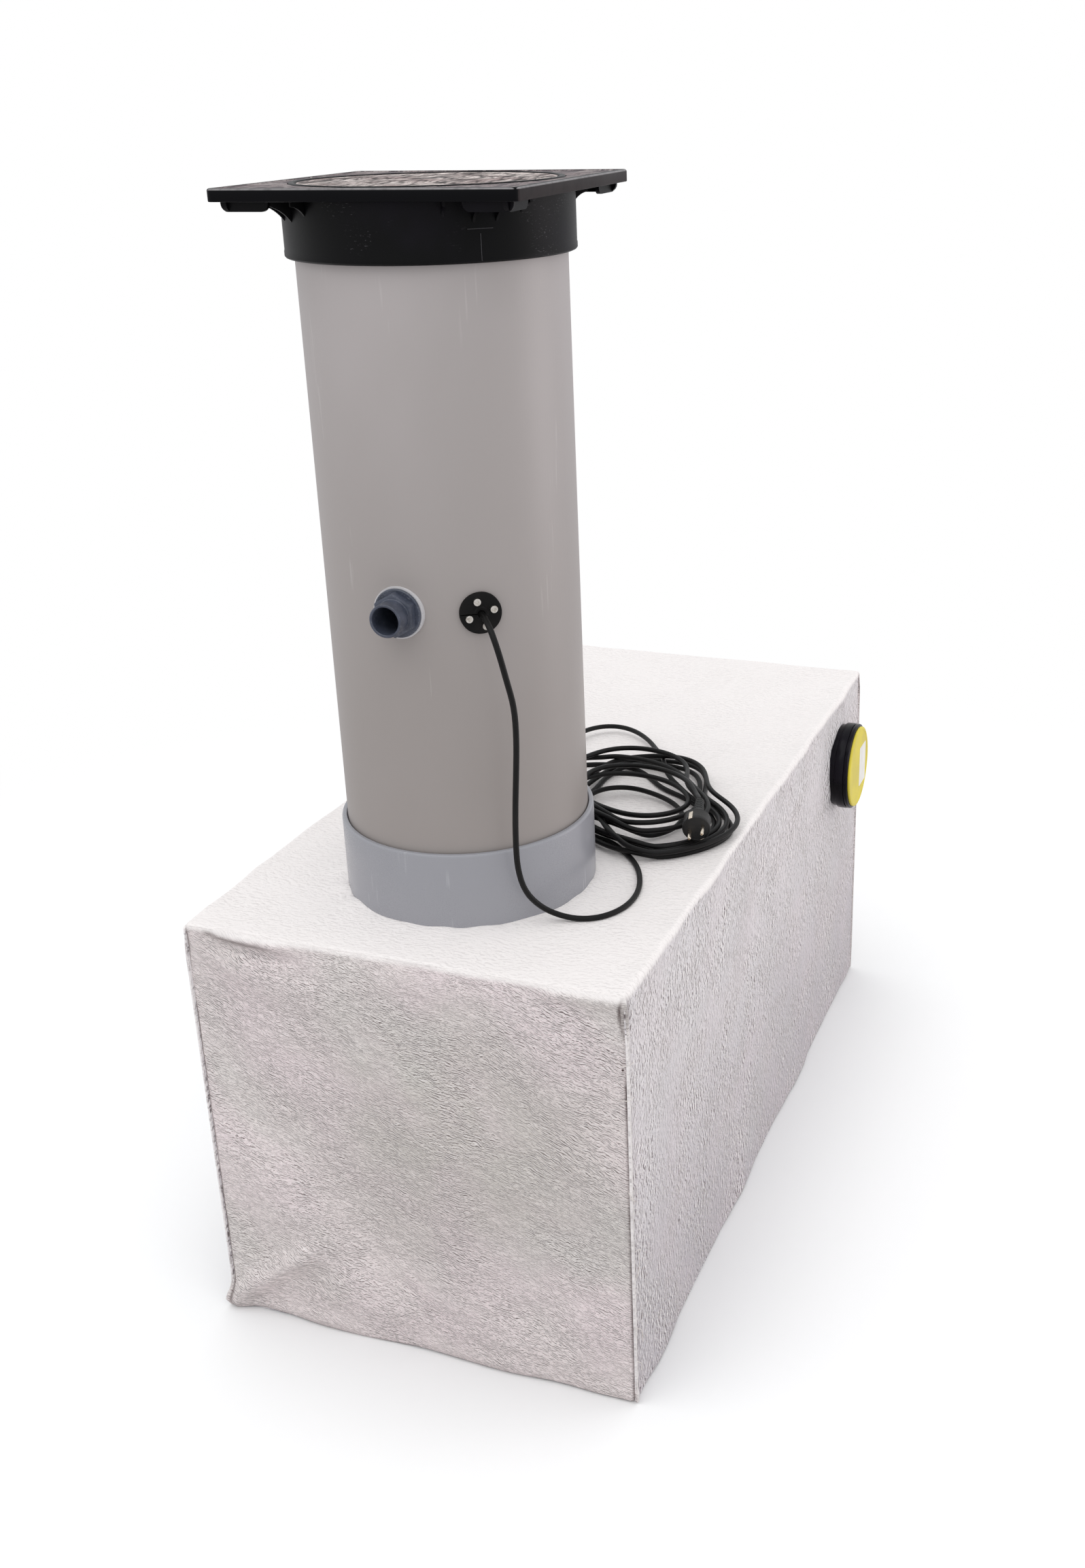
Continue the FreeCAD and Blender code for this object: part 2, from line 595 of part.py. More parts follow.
def cord_coil():
    """The outer form of the loose coil on the crate's top, with its eye and a nest for the plug."""
    lift = Vector(0.0, 0.0, COIL_HEIGHT)
    top = CRATE_HEIGHT + COIL_HEIGHT
    coil = belt_face(COIL_LOBES, 0.0).extrude(lift)
    coil.translate(RISER_FOOT)
    coil = coil.makeFillet(COIL_TOP_ROUND, edges_at(coil, top))
    eye = belt_face(COIL_EYE, -COIL_HEIGHT).extrude(lift * 3.0)
    eye.translate(RISER_FOOT)
    coil = coil.cut(eye)
    clear = Part.makeCylinder(PLUG_RADIUS, PLUG_PIN_LENGTH + PLUG_RADIUS)
    clear.Placement = plug_placement()
    return coil.cut(plug_body()).cut(clear)


def rounded_path(points):
    """Straight runs joined by tangent arcs, each arc as large as its two runs allow."""
    edges = []
    radii = []
    start = points[0]
    for index in range(1, len(points) - 1):
        corner = points[index]
        back = points[index - 1] - corner
        ahead = points[index + 1] - corner
        reach = 0.45 * min(back.Length, ahead.Length)
        back.normalize()
        ahead.normalize()
        turn = math.pi - back.getAngle(ahead)
        radius = reach / math.tan(turn / 2.0)
        enter = corner + back * reach
        leave = corner + ahead * reach
        bisector = back + ahead
        bisector.normalize()
        centre = corner + bisector * math.hypot(radius, reach)
        edges.append(Part.LineSegment(start, enter).toShape())
        edges.append(Part.Arc(enter, centre - bisector * radius, leave).toShape())
        radii.append(radius)
        start = leave
    edges.append(Part.LineSegment(start, points[-1]).toShape())
    return Part.Wire(edges), radii


def power_cord():
    """The lead's stretch that isn't coiled, from the cable seal to the coil."""
    turn = math.radians(SEAL_ANGLE)
    outward = Vector(math.cos(turn), math.sin(turn), 0.0)
    exit_point = RISER_AXIS + outward * seal_face() + UP * SEAL_HEIGHT
    points = [exit_point] + [RISER_FOOT + Vector(*point) for point in CORD_ROUTE]
    path, radii = rounded_path(points)
    section = Part.Wire(Part.makeCircle(CORD_DIAMETER / 2.0, exit_point, outward))
    cord = path.makePipeShell([section], True, True)
    print("cord radii", [round(radius) for radius in radii])
    print("cord runs", [round((b - a).Length) for a, b in zip(points, points[1:])])
    share = cord.Volume / (math.pi * CORD_DIAMETER ** 2 / 4.0 * path.Length)
    print("cord length", round(path.Length), "volume over section times length", round(share, 4))
    return cord.cut(cord_coil())


def build():
    """All sub-parts by node name."""
    parts = {}
    parts.update(fabric_panels())
    parts.update(crate_panels())
    for maker in (
        riser_socket, riser_pipe,
        cover_frame, cover_skirt, cover_edge_ribs, cover_gussets, cover_lid,
        outlet_gasket, outlet_fitting, outlet_locknut,
        cable_seal_plate, cable_seal_grommet, cable_seal_back_plate, cable_seal_screws,
        inlet_stub, inlet_collar, inlet_cap,
        power_cord, cord_coil, plug_body, plug_pins,
    ):
        parts[maker.__name__] = maker()
    return parts


os.makedirs("parts", exist_ok=True)
for node, shape in build().items():
    shape.exportStep(os.path.join("parts", node + ".step"))
    print(node, "solids", len(shape.Solids), "volume", round(shape.Volume), "valid", shape.isValid())
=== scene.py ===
"""Dressed model of a drainage pump sump.

A crate wrapped in geotextile carries a riser pipe with a square cover, an outlet, a cable seal, a capped
inlet and a coiled power lead. Lengths are in metres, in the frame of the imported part.
"""

import logging
import math
from contextlib import contextmanager
from dataclasses import dataclass
from enum import Enum
from typing import Callable, Iterator, Optional, Sequence, Union

import bmesh
import bpy
import numpy as np
from mathutils import Matrix, Vector


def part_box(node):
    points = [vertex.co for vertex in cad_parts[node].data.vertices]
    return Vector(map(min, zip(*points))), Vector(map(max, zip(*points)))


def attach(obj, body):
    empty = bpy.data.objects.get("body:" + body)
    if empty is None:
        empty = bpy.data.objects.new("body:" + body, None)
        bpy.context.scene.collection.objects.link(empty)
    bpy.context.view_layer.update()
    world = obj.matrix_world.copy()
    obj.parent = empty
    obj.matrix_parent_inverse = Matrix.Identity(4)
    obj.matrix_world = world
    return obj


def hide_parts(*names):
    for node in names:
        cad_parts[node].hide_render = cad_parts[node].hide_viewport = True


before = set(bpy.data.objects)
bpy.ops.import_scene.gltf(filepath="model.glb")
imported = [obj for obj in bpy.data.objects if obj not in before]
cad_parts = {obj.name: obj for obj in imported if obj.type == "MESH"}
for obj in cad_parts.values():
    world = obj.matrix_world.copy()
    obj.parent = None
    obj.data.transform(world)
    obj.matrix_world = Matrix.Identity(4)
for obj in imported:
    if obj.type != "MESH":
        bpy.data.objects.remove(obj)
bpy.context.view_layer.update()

LOG = logging.getLogger("sump")
BODY = "root"
CLOTH = "cloth"
# Attribute with levels of dirt and painted shade on the cloth, and of mould marks on black plastic.
STAIN_AND_SHADE = "stain"
CARVED = "carved"
ORIGIN = (0.0, 0.0, 0.0)
UP = Vector((0.0, 0.0, 1.0))
DOUBLES = 1e-6

Pair = tuple[float, float]
Point = tuple[float, float, float]
Colour = tuple[float, float, float, float]
Grid = np.ndarray
Piece = bpy.types.Object


def srgb(red: int, green: int, blue: int) -> Colour:
    """Turn a screen colour into linear light.

    Args:
        red: Red from 0 to 255.
        green: Green from 0 to 255.
        blue: Blue from 0 to 255.

    Returns:
        The linear colour with full alpha.
    """
    channels = []
    for level in (red, green, blue):
        share = level / 255.0
        channels.append(share / 12.92 if share <= 0.04045 else ((share + 0.055) / 1.055) ** 2.4)
    return (channels[0], channels[1], channels[2], 1.0)


class Domain(Enum):
    """What a selection in edit mode picks."""

    FACE = "FACE"
    EDGE = "EDGE"


class Value:
    """A shader socket that takes part in Python expressions."""

    def __init__(self, graph: "Graph", socket: bpy.types.NodeSocket) -> None:
        """Wrap one output socket of a graph."""
        self.graph = graph
        self.socket = socket

    def _math(self, operation: str, first: "Operand", second: "Operand") -> "Value":
        """Add one Math node."""
        return self.graph.node("ShaderNodeMath", {"operation": operation}, {0: first, 1: second})

    def __add__(self, other: "Operand") -> "Value":
        """Sum of two values."""
        return self._math("ADD", self, other)

    def __radd__(self, other: "Operand") -> "Value":
        """Sum with the number first."""
        return self._math("ADD", other, self)

    def __sub__(self, other: "Operand") -> "Value":
        """Difference of two values."""
        return self._math("SUBTRACT", self, other)

    def __rsub__(self, other: "Operand") -> "Value":
        """Difference with the number first."""
        return self._math("SUBTRACT", other, self)

    def __mul__(self, other: "Operand") -> "Value":
        """Product of two values."""
        return self._math("MULTIPLY", self, other)

    def __rmul__(self, other: "Operand") -> "Value":
        """Product with the number first."""
        return self._math("MULTIPLY", other, self)

    def __abs__(self) -> "Value":
        """Size of a value without its sign."""
        return self._math("ABSOLUTE", self, 0.0)

    def largest(self, other: "Operand") -> "Value":
        """The larger of two values."""
        return self._math("MAXIMUM", self, other)

    def smooth(self, low: float, high: float) -> "Value":
        """A soft step.

        Args:
            low: Value that gives 0.
            high: Value that gives 1.

        Returns:
            The step, from 0 to 1.
        """
        sockets = {"Value": self, "From Min": low, "From Max": high}
        return self.graph.node("ShaderNodeMapRange", {"interpolation_type": "SMOOTHSTEP"}, sockets)


Operand = Union[Value, float]


class Graph:
    """A node tree that is built from expressions."""

    def __init__(self, tree: bpy.types.NodeTree) -> None:
        """Empty a tree and take it over."""
        self.tree = tree
        tree.nodes.clear()

    def node(
        self,
        kind: str,
        settings: Optional[dict] = None,
        sockets: Optional[dict] = None,
        output: Union[int, str] = 0,
    ) -> Value:
        """Add a node.

        Args:
            kind: The node's type.
            settings: Its properties, set first.
            sockets: Values or links by input name or number.
            output: The output that is wanted.

        Returns:
            That output.
        """
        made = self.tree.nodes.new(kind)
        for key, setting in (settings or {}).items():
            setattr(made, key, setting)
        for key, given in (sockets or {}).items():
            if isinstance(given, Value):
                self.tree.links.new(given.socket, made.inputs[key])
            else:
                made.inputs[key].default_value = given
        return Value(self, made.outputs[output] if len(made.outputs) else None)

    def place(self, offset: Point = ORIGIN, turn: float = 0.0) -> Value:
        """Object coordinates measured from a place on the object.

        Args:
            offset: The place that becomes the origin.
            turn: Turn of the pattern about Z, in radians.

        Returns:
            The coordinates.
        """
        at = self.node("ShaderNodeTexCoord", output="Object")
        moved = self.node("ShaderNodeVectorMath", {"operation": "SUBTRACT"}, {0: at, 1: offset})
        return self.node("ShaderNodeMapping", None, {"Vector": moved, "Rotation": (0.0, 0.0, -turn)})

    def attribute(self, name: str, output: str = "Fac") -> Value:
        """What a piece's points carry under a name."""
        return self.node("ShaderNodeAttribute", {"attribute_name": name}, None, output)

    def axes(self, vector: Value) -> tuple[Value, Value, Value]:
        """The three numbers of a vector."""
        split = self.node("ShaderNodeSeparateXYZ", None, {0: vector})
        return tuple(Value(self, output) for output in split.socket.node.outputs)

    def vector(self, x: Operand, y: Operand, z: Operand) -> Value:
        """A vector from three numbers."""
        return self.node("ShaderNodeCombineXYZ", None, {0: x, 1: y, 2: z})

    def distance(self, vector: Value, place: Point) -> Value:
        """Distance of the coordinates from a place."""
        return self.node("ShaderNodeVectorMath", {"operation": "DISTANCE"}, {0: vector, 1: place}, "Value")

    def noise(self, vector: Value, scale: float, detail: float = 2.0, rough: float = 0.5) -> Value:
        """Cloudy noise.

        Args:
            vector: Coordinates.
            scale: Clouds per unit.
            detail: Octaves.
            rough: Share of the finer octaves.

        Returns:
            The noise, about 0.5 on average.
        """
        sockets = {"Vector": vector, "Scale": scale, "Detail": detail, "Roughness": rough}
        return self.node("ShaderNodeTexNoise", None, sockets)

    def streaks(self, vector: Value, rates: Point, detail: float = 2.0, rough: float = 0.5) -> Value:
        """Noise that is drawn out where its rate is low.

        Args:
            vector: Coordinates.
            rates: Clouds per unit along X, Y and Z.
            detail: Octaves.
            rough: Share of the finer octaves.

        Returns:
            The noise, about 0.5 on average.
        """
        drawn = self.node("ShaderNodeVectorMath", {"operation": "MULTIPLY"}, {0: vector, 1: rates})
        return self.noise(drawn, 1.0, detail, rough)

    def mix(self, factor: Operand, first: Union[Value, Colour], second: Union[Value, Colour]) -> Value:
        """Blend two colours.

        Args:
            factor: Share of the second colour.
            first: Colour at 0.
            second: Colour at 1.

        Returns:
            The blend.
        """
        return self.node("ShaderNodeMix", {"data_type": "RGBA"}, {0: factor, 6: first, 7: second}, 2)

    def bump(self, height: Value, distance: float) -> Value:
        """Relief from a height.

        Args:
            height: The height, about 0 to 1.
            distance: Depth that a height of 1 stands for.

        Returns:
            The bent normal.
        """
        sockets = {"Height": height, "Distance": distance, "Strength": 1.0}
        return self.node("ShaderNodeBump", None, sockets, "Normal")

    def surface(self, **sockets: Union[Value, Colour, float]) -> None:
        """End the tree in a Principled surface, its sockets named with _ for spaces."""
        named = {key.replace("_", " "): given for key, given in sockets.items()}
        shader = self.node("ShaderNodeBsdfPrincipled", None, named)
        self.node("ShaderNodeOutputMaterial", None, {"Surface": shader})


@dataclass(frozen=True)
class Finish:
    """One surface finish of the sump, with the record's slot it belongs to."""

    title: str
    slot: str
    shine: float = 0.5
    relief: float = 0.0001
    metallic: float = 0.0

    def paint(self, graph: Graph) -> None:
        """Fill the finish's node tree."""
        raise NotImplementedError

    def coat(self, graph: Graph, colour: Value, rough: Operand, height: Value) -> None:
        """End the node tree with the finish's own shine and relief.

        Args:
            graph: The node tree.
            colour: Colour of the surface.
            rough: Its roughness.
            height: Its relief, about 0 to 1.
        """
        graph.surface(
            Base_Color=colour,
            Metallic=self.metallic,
            Roughness=rough,
            Specular_IOR_Level=self.shine,
            Normal=graph.bump(height, self.relief),
        )

    def material(self) -> bpy.types.Material:
        """The finish's material, made on first use."""
        made = bpy.data.materials.get(self.title)
        if made is None:
            made = bpy.data.materials.new(self.title)
            made.use_nodes = True
            self.paint(Graph(made.node_tree))
        return made


@dataclass(frozen=True)
class Geotextile(Finish):
    """White needled felt with fine crinkles that run along the cloth."""

    top: float = 0.6
    # Colour of the top, painted paler for the light it gets from above; also the painted highlight of the
    # crinkles and the pale piping.
    pale: Colour = srgb(247, 242, 240)
    ground: Colour = srgb(231, 227, 229)
    panel: Colour = srgb(249, 238, 237)
    faded: Colour = srgb(214, 209, 202)
    # Painted shade in the crinkles.
    crinkle_shade: Colour = srgb(98, 86, 85)
    rosy: Colour = srgb(246, 228, 233)
    mossy: Colour = srgb(224, 227, 218)
    # Painted shade low on the band's sides.
    foot_shade: Colour = srgb(172, 166, 174)
    # Dirt in the seams and along the hem, and painted shade in the tucks and folds.
    soil_and_shade: Colour = srgb(84, 66, 64)
    streak_rate: float = 110.0
    lane_rate: float = 560.0
    band_rate: float = 240.0
    eyelet: Point = (0.2935, -0.602, 0.5015)
    faded_at: Point = (0.07, -0.60, 0.34)
    faded_reach: Pair = (0.30, 0.05)
    eyelet_reach: Pair = (0.0030, 0.0018)
    shine: float = 0.18
    relief: float = 0.0013

    def paint(self, graph: Graph) -> None:
        """Crinkle lanes that drift slowly with painted shade and painted highlight on their sides, finer
        fibres between them, faint blotches, dirt and painted shade at the seams, a top painted paler and
        band sides painted darker towards their foot.
        """
        cloth = graph.attribute(CLOTH, "Vector")
        stain = graph.attribute(STAIN_AND_SHADE)
        along, across, side = graph.axes(cloth)
        at = graph.place()
        height = graph.axes(at)[2]
        # Painted light: the top is painted paler and its painted crinkle shade fades.
        flat = height.smooth(self.top - 0.011, self.top - 0.002)
        drift = graph.noise(cloth, 3.6, 1.0)
        sway = graph.noise(cloth, 55.0, 2.0)
        lane = across + (drift - 0.5) * 0.085 + (sway - 0.5) * 0.009
        ends = side.smooth(0.5, 1.5)
        row = lane * (ends * (self.lane_rate - self.band_rate) + self.band_rate)
        crinkle = graph.noise(graph.vector(along * self.streak_rate, row, side), 1.0, 2.0, 0.6)
        beside = graph.noise(graph.vector(along * self.streak_rate, row + 0.45, side), 1.0, 2.0, 0.6)
        slope = crinkle - beside
        depth = graph.noise(cloth, 11.0, 2.0).smooth(0.30, 0.62) * 0.5 + 0.5
        rough = 1.0 - flat
        blotch = graph.noise(cloth, 7.0, 2.0).smooth(0.40, 0.68)
        moss = graph.noise(graph.vector(along, across, side + 4.0), 5.0, 2.0).smooth(0.48, 0.72)
        worn = graph.distance(at, self.faded_at).smooth(*self.faded_reach)
        # Painted shade: the band's sides are painted darker towards their foot, where less light reaches
        # them.
        ground = graph.mix(height.smooth(0.55, 0.0) * 0.6, self.ground, self.foot_shade)
        ground = graph.mix(ends, ground, graph.mix(worn * 0.85, self.panel, self.faded))
        ground = graph.mix(blotch * (ends * 0.25 + 0.15), ground, self.rosy)
        ground = graph.mix(moss * (ends * 0.30 + 0.10), ground, self.mossy)
        ground = graph.mix(flat, ground, self.pale)
        # Painted shade and painted highlight on the two sides of each crinkle, fading out on the top.
        painted_shade = slope.smooth(0.02, 0.14) * depth * (rough * 0.73 + 0.15)
        lit = slope.smooth(-0.02, -0.12) * depth * rough * 0.9
        colour = graph.mix(lit, graph.mix(painted_shade, ground, self.crinkle_shade), self.pale)
        hole = graph.distance(at, self.eyelet).smooth(*self.eyelet_reach)
        # The stain attribute and the dark spot beside the seam darken the cloth: dirt in the seams and
        # along the hem, painted shade in the tucks, under the upper fold and beside the band's seams. Below
        # 0 the stain paints the pale piping.
        colour = graph.mix(stain.largest(hole), colour, self.soil_and_shade)
        colour = graph.mix((stain * -1.0).largest(0.0), colour, self.pale)
        fibre = graph.noise(cloth, 1400.0, 1.0)
        felt = crinkle.smooth(0.30, 0.68) * 0.9 + fibre * 0.1
        self.coat(graph, colour, 0.95, felt * (rough * 0.6 + 0.4))


@dataclass(frozen=True)
class SewingThread(Finish):
    """Twisted off-white thread."""

    colour: Colour = srgb(244, 238, 233)
    shade: Colour = srgb(214, 206, 201)
    shine: float = 0.2
    relief: float = 0.0003

    def paint(self, graph: Graph) -> None:
        """Fine twist along the thread."""
        twist = graph.noise(graph.place(), 1800.0, 2.0)
        self.coat(graph, graph.mix(twist.smooth(0.35, 0.65), self.shade, self.colour), 0.9, twist)


@dataclass(frozen=True)
class DrawnPlastic(Finish):
    """Satin extruded plastic with faint die lines, cloudy handling marks, a few thin scratches and painted
    shade that darkens it towards its foot.
    """

    colour: Colour = srgb(182, 176, 176)
    cloud: Colour = srgb(175, 169, 168)
    scratch: Colour = srgb(206, 202, 200)
    # Painted shade towards the foot: its colour, the height where it is full and the height where it has
    # faded.
    soil_and_shade: Colour = srgb(138, 130, 124)
    soiled_and_shaded: float = 0.60
    fading: float = 1.45
    gloss: float = 0.40
    scratched: float = 0.2
    shine: float = 0.45
    relief: float = 0.00012

    def paint(self, graph: Graph) -> None:
        """Die lines run along Z."""
        at = graph.place()
        level = graph.axes(at)[2]
        clouds = graph.streaks(at, (4.0, 4.0, 2.4), 3.0)
        lines = graph.streaks(at, (420.0, 420.0, 3.0))
        grit = graph.noise(at, 900.0, 1.0)
        nick = graph.streaks(at, (22.0, 22.0, 5.5), 0.0)
        rows = graph.streaks(at, (310.0, 310.0, 14.0), 1.0)
        scratch = nick.smooth(0.70, 0.76) * rows.smooth(0.60, 0.68) * self.scratched
        colour = graph.mix(clouds.smooth(0.34, 0.66), self.cloud, self.colour)
        # Painted shade: darker towards the foot, where less light reaches the pipe.
        soiled_and_shaded = graph.mix(0.7, colour, self.soil_and_shade)
        colour = graph.mix(level.smooth(self.soiled_and_shaded, self.fading) * 0.8, soiled_and_shaded, colour)
        colour = graph.mix(scratch, colour, self.scratch)
        rough = (clouds - 0.5) * 0.22 + (grit - 0.5) * 0.1 + self.gloss
        self.coat(graph, colour, rough, lines * 0.5 + grit * 0.5)


@dataclass(frozen=True)
class MouldedBlack(Finish):
    """Black moulded plastic with a fine grain, grey scuffs and a painted bluish sheen in cloudy patches."""

    colour: Colour = srgb(5, 5, 6)
    # Painted sheen.
    bluish_sheen: Colour = srgb(16, 13, 21)
    scuff: Colour = srgb(96, 94, 97)
    gloss: float = 0.40
    scuffed: float = 0.5
    shine: float = 0.12
    relief: float = 0.00010

    def paint(self, graph: Graph) -> None:
        """Scuffs gather in patches and run in short streaks."""
        at = graph.place()
        clouds = graph.noise(at, 9.0, 3.0)
        grit = graph.noise(at, 1300.0, 2.0)
        patch = graph.noise(at, 17.0, 2.0).smooth(0.56, 0.70)
        marks = graph.streaks(at, (210.0, 210.0, 620.0), 3.0, 0.6).smooth(0.60, 0.72)
        scuffs = patch * marks * self.scuffed
        mould = graph.attribute(STAIN_AND_SHADE)
        # Painted bluish sheen in cloudy patches.
        colour = graph.mix(clouds.smooth(0.42, 0.70), self.colour, self.bluish_sheen)
        colour = graph.mix(scuffs.largest(mould), colour, self.scuff)
        self.coat(graph, colour, (clouds - 0.5) * 0.25 + scuffs * 0.3 + self.gloss, grit)


@dataclass(frozen=True)
class BarkRelief(Finish):
    """Black cover top moulded with long-grained lines between pale plates: worn earth with a painted
    reflection of the sky on them.
    """

    centre: Point = ORIGIN
    turn: float = 0.0
    border: float = 1.0
    ring: float = 1.0
    # Share of the pale plates, which carry a painted reflection, against the shade colour.
    wear_and_sheen: float = 1.0
    colour: Colour = srgb(26, 19, 19)
    # Pale plates: worn earth with a painted reflection of the sky.
    ridge: Colour = srgb(232, 220, 215)
    earth: Colour = srgb(182, 163, 160)
    shade: Colour = srgb(100, 92, 95)
    rim: Colour = srgb(8, 8, 11)
    # Lighter brownish grey on the right side face.
    dust: Colour = srgb(74, 62, 62)
    # Painted highlight on the bevel of the upper edge.
    bevel_highlight: Colour = srgb(150, 147, 148)
    shine: float = 0.08
    relief: float = 0.0009

    def paint(self, graph: Graph) -> None:
        """The plates lie inside a smooth border, whose upper edge carries a painted pale highlight along
        its bevel.
        """
        at = graph.place(self.centre, self.turn)
        x, y, z = graph.axes(at)
        carved = graph.attribute(CARVED)
        bend = graph.noise(at, 9.0, 2.0)
        swirl = graph.noise(at, 30.0, 2.0)
        lane = x + (bend - 0.5) * 0.09 + (swirl - 0.5) * 0.016
        grain = graph.noise(graph.vector(lane * 240.0, y * 22.0, 0.0), 1.0, 3.0, 0.6)
        lines = carved.largest(abs(grain - 0.5).smooth(0.05, 0.0) * 0.4)
        reach = abs(x).largest(abs(y))
        inside = reach.smooth(self.border + 0.0006, self.border - 0.0006)
        middle = graph.distance(graph.vector(x, y, 0.0), ORIGIN)
        inside = inside * middle.smooth(self.ring + 0.0003, self.ring - 0.0003)
        top = z.smooth(-0.0040, -0.0020) * inside
        clay = graph.noise(at, 16.0, 3.0).smooth(0.40, 0.66)
        patch = graph.noise(graph.vector(lane * 90.0, y * 16.0, 5.0), 1.0, 2.0).smooth(0.34, 0.58)
        # Pale plates: worn earth with a painted reflection of the sky; fewer of them on the frame.
        plate = graph.mix(clay, self.ridge, self.earth)
        plate = graph.mix(patch * self.wear_and_sheen + (self.wear_and_sheen - 0.55), self.shade, plate)
        body = graph.mix(lines, plate, self.colour)
        edge_grit = graph.noise(at, 120.0, 2.0).smooth(0.20, 0.62) * 0.35 + 0.65
        # Painted highlight along the bevel of the upper edge.
        edge = reach.smooth(self.border + 0.0046, self.border + 0.0058) * z.smooth(-0.0024, -0.0014)
        # The right side face is painted a lighter brownish grey.
        side = x.smooth(self.border + 0.0056, self.border + 0.0066) * edge_grit
        colour = graph.mix(top, graph.mix(side * 0.3, self.rim, self.dust), body)
        colour = graph.mix(edge * edge_grit * 0.8, colour, self.bevel_highlight)
        rough = top * 0.20 + (swirl - 0.5) * 0.12 + 0.40
        self.coat(graph, colour, rough, top * (1.0 - lines) + grain * top * 0.25)


@dataclass(frozen=True)
class Rubber(Finish):
    """Matt rubber with dust in its pores."""

    colour: Colour = srgb(26, 25, 25)
    dust: Colour = srgb(66, 62, 59)
    dusty: float = 0.35
    gloss: float = 0.52
    shine: float = 0.42
    pore: float = 700.0
    relief: float = 0.00022

    def paint(self, graph: Graph) -> None:
        """Pores and soft dust patches."""
        at = graph.place()
        pores = graph.noise(at, self.pore, 2.0)
        dust = graph.noise(at, 34.0, 3.0).smooth(0.45, 0.72) * self.dusty
        rough = dust * 0.25 + (pores - 0.5) * 0.14 + self.gloss
        self.coat(graph, graph.mix(dust, self.colour, self.dust), rough, pores)


@dataclass(frozen=True)
class BrightMetal(Finish):
    """Bright turned metal with fine brushing and tarnish in its hollows."""

    colour: Colour = srgb(222, 218, 212)
    tarnish: Colour = srgb(150, 140, 128)
    gloss: float = 0.28
    relief: float = 0.00006
    metallic: float = 1.0

    def paint(self, graph: Graph) -> None:
        """Brushing across Z with soft tarnish."""
        at = graph.place()
        brush = graph.streaks(at, (300.0, 300.0, 2600.0))
        stain = graph.noise(at, 260.0, 2.0).smooth(0.46, 0.70)
        rough = (brush - 0.5) * 0.2 + stain * 0.16 + self.gloss
        self.coat(graph, graph.mix(stain * 0.6, self.colour, self.tarnish), rough, brush)


@dataclass(frozen=True)
class TintedPlastic(Finish):
    """Smooth coloured plastic with faint flow marks and dust."""

    colour: Colour = srgb(73, 78, 92)
    flow: Colour = srgb(58, 63, 76)
    dust: Colour = srgb(150, 152, 158)
    gloss: float = 0.32
    dusty: float = 0.3
    scale: float = 60.0
    relief: float = 0.00008

    def paint(self, graph: Graph) -> None:
        """Flow marks in the colour and dust on top."""
        at = graph.place()
        marks = graph.noise(at, self.scale, 3.0)
        dust = graph.noise(at, self.scale * 7.0, 3.0).smooth(0.58, 0.74) * self.dusty
        grit = graph.noise(at, 1500.0, 1.0)
        colour = graph.mix(marks.smooth(0.35, 0.65), self.flow, self.colour)
        rough = (marks - 0.5) * 0.18 + dust * 0.3 + self.gloss
        self.coat(graph, graph.mix(dust, colour, self.dust), rough, grit)


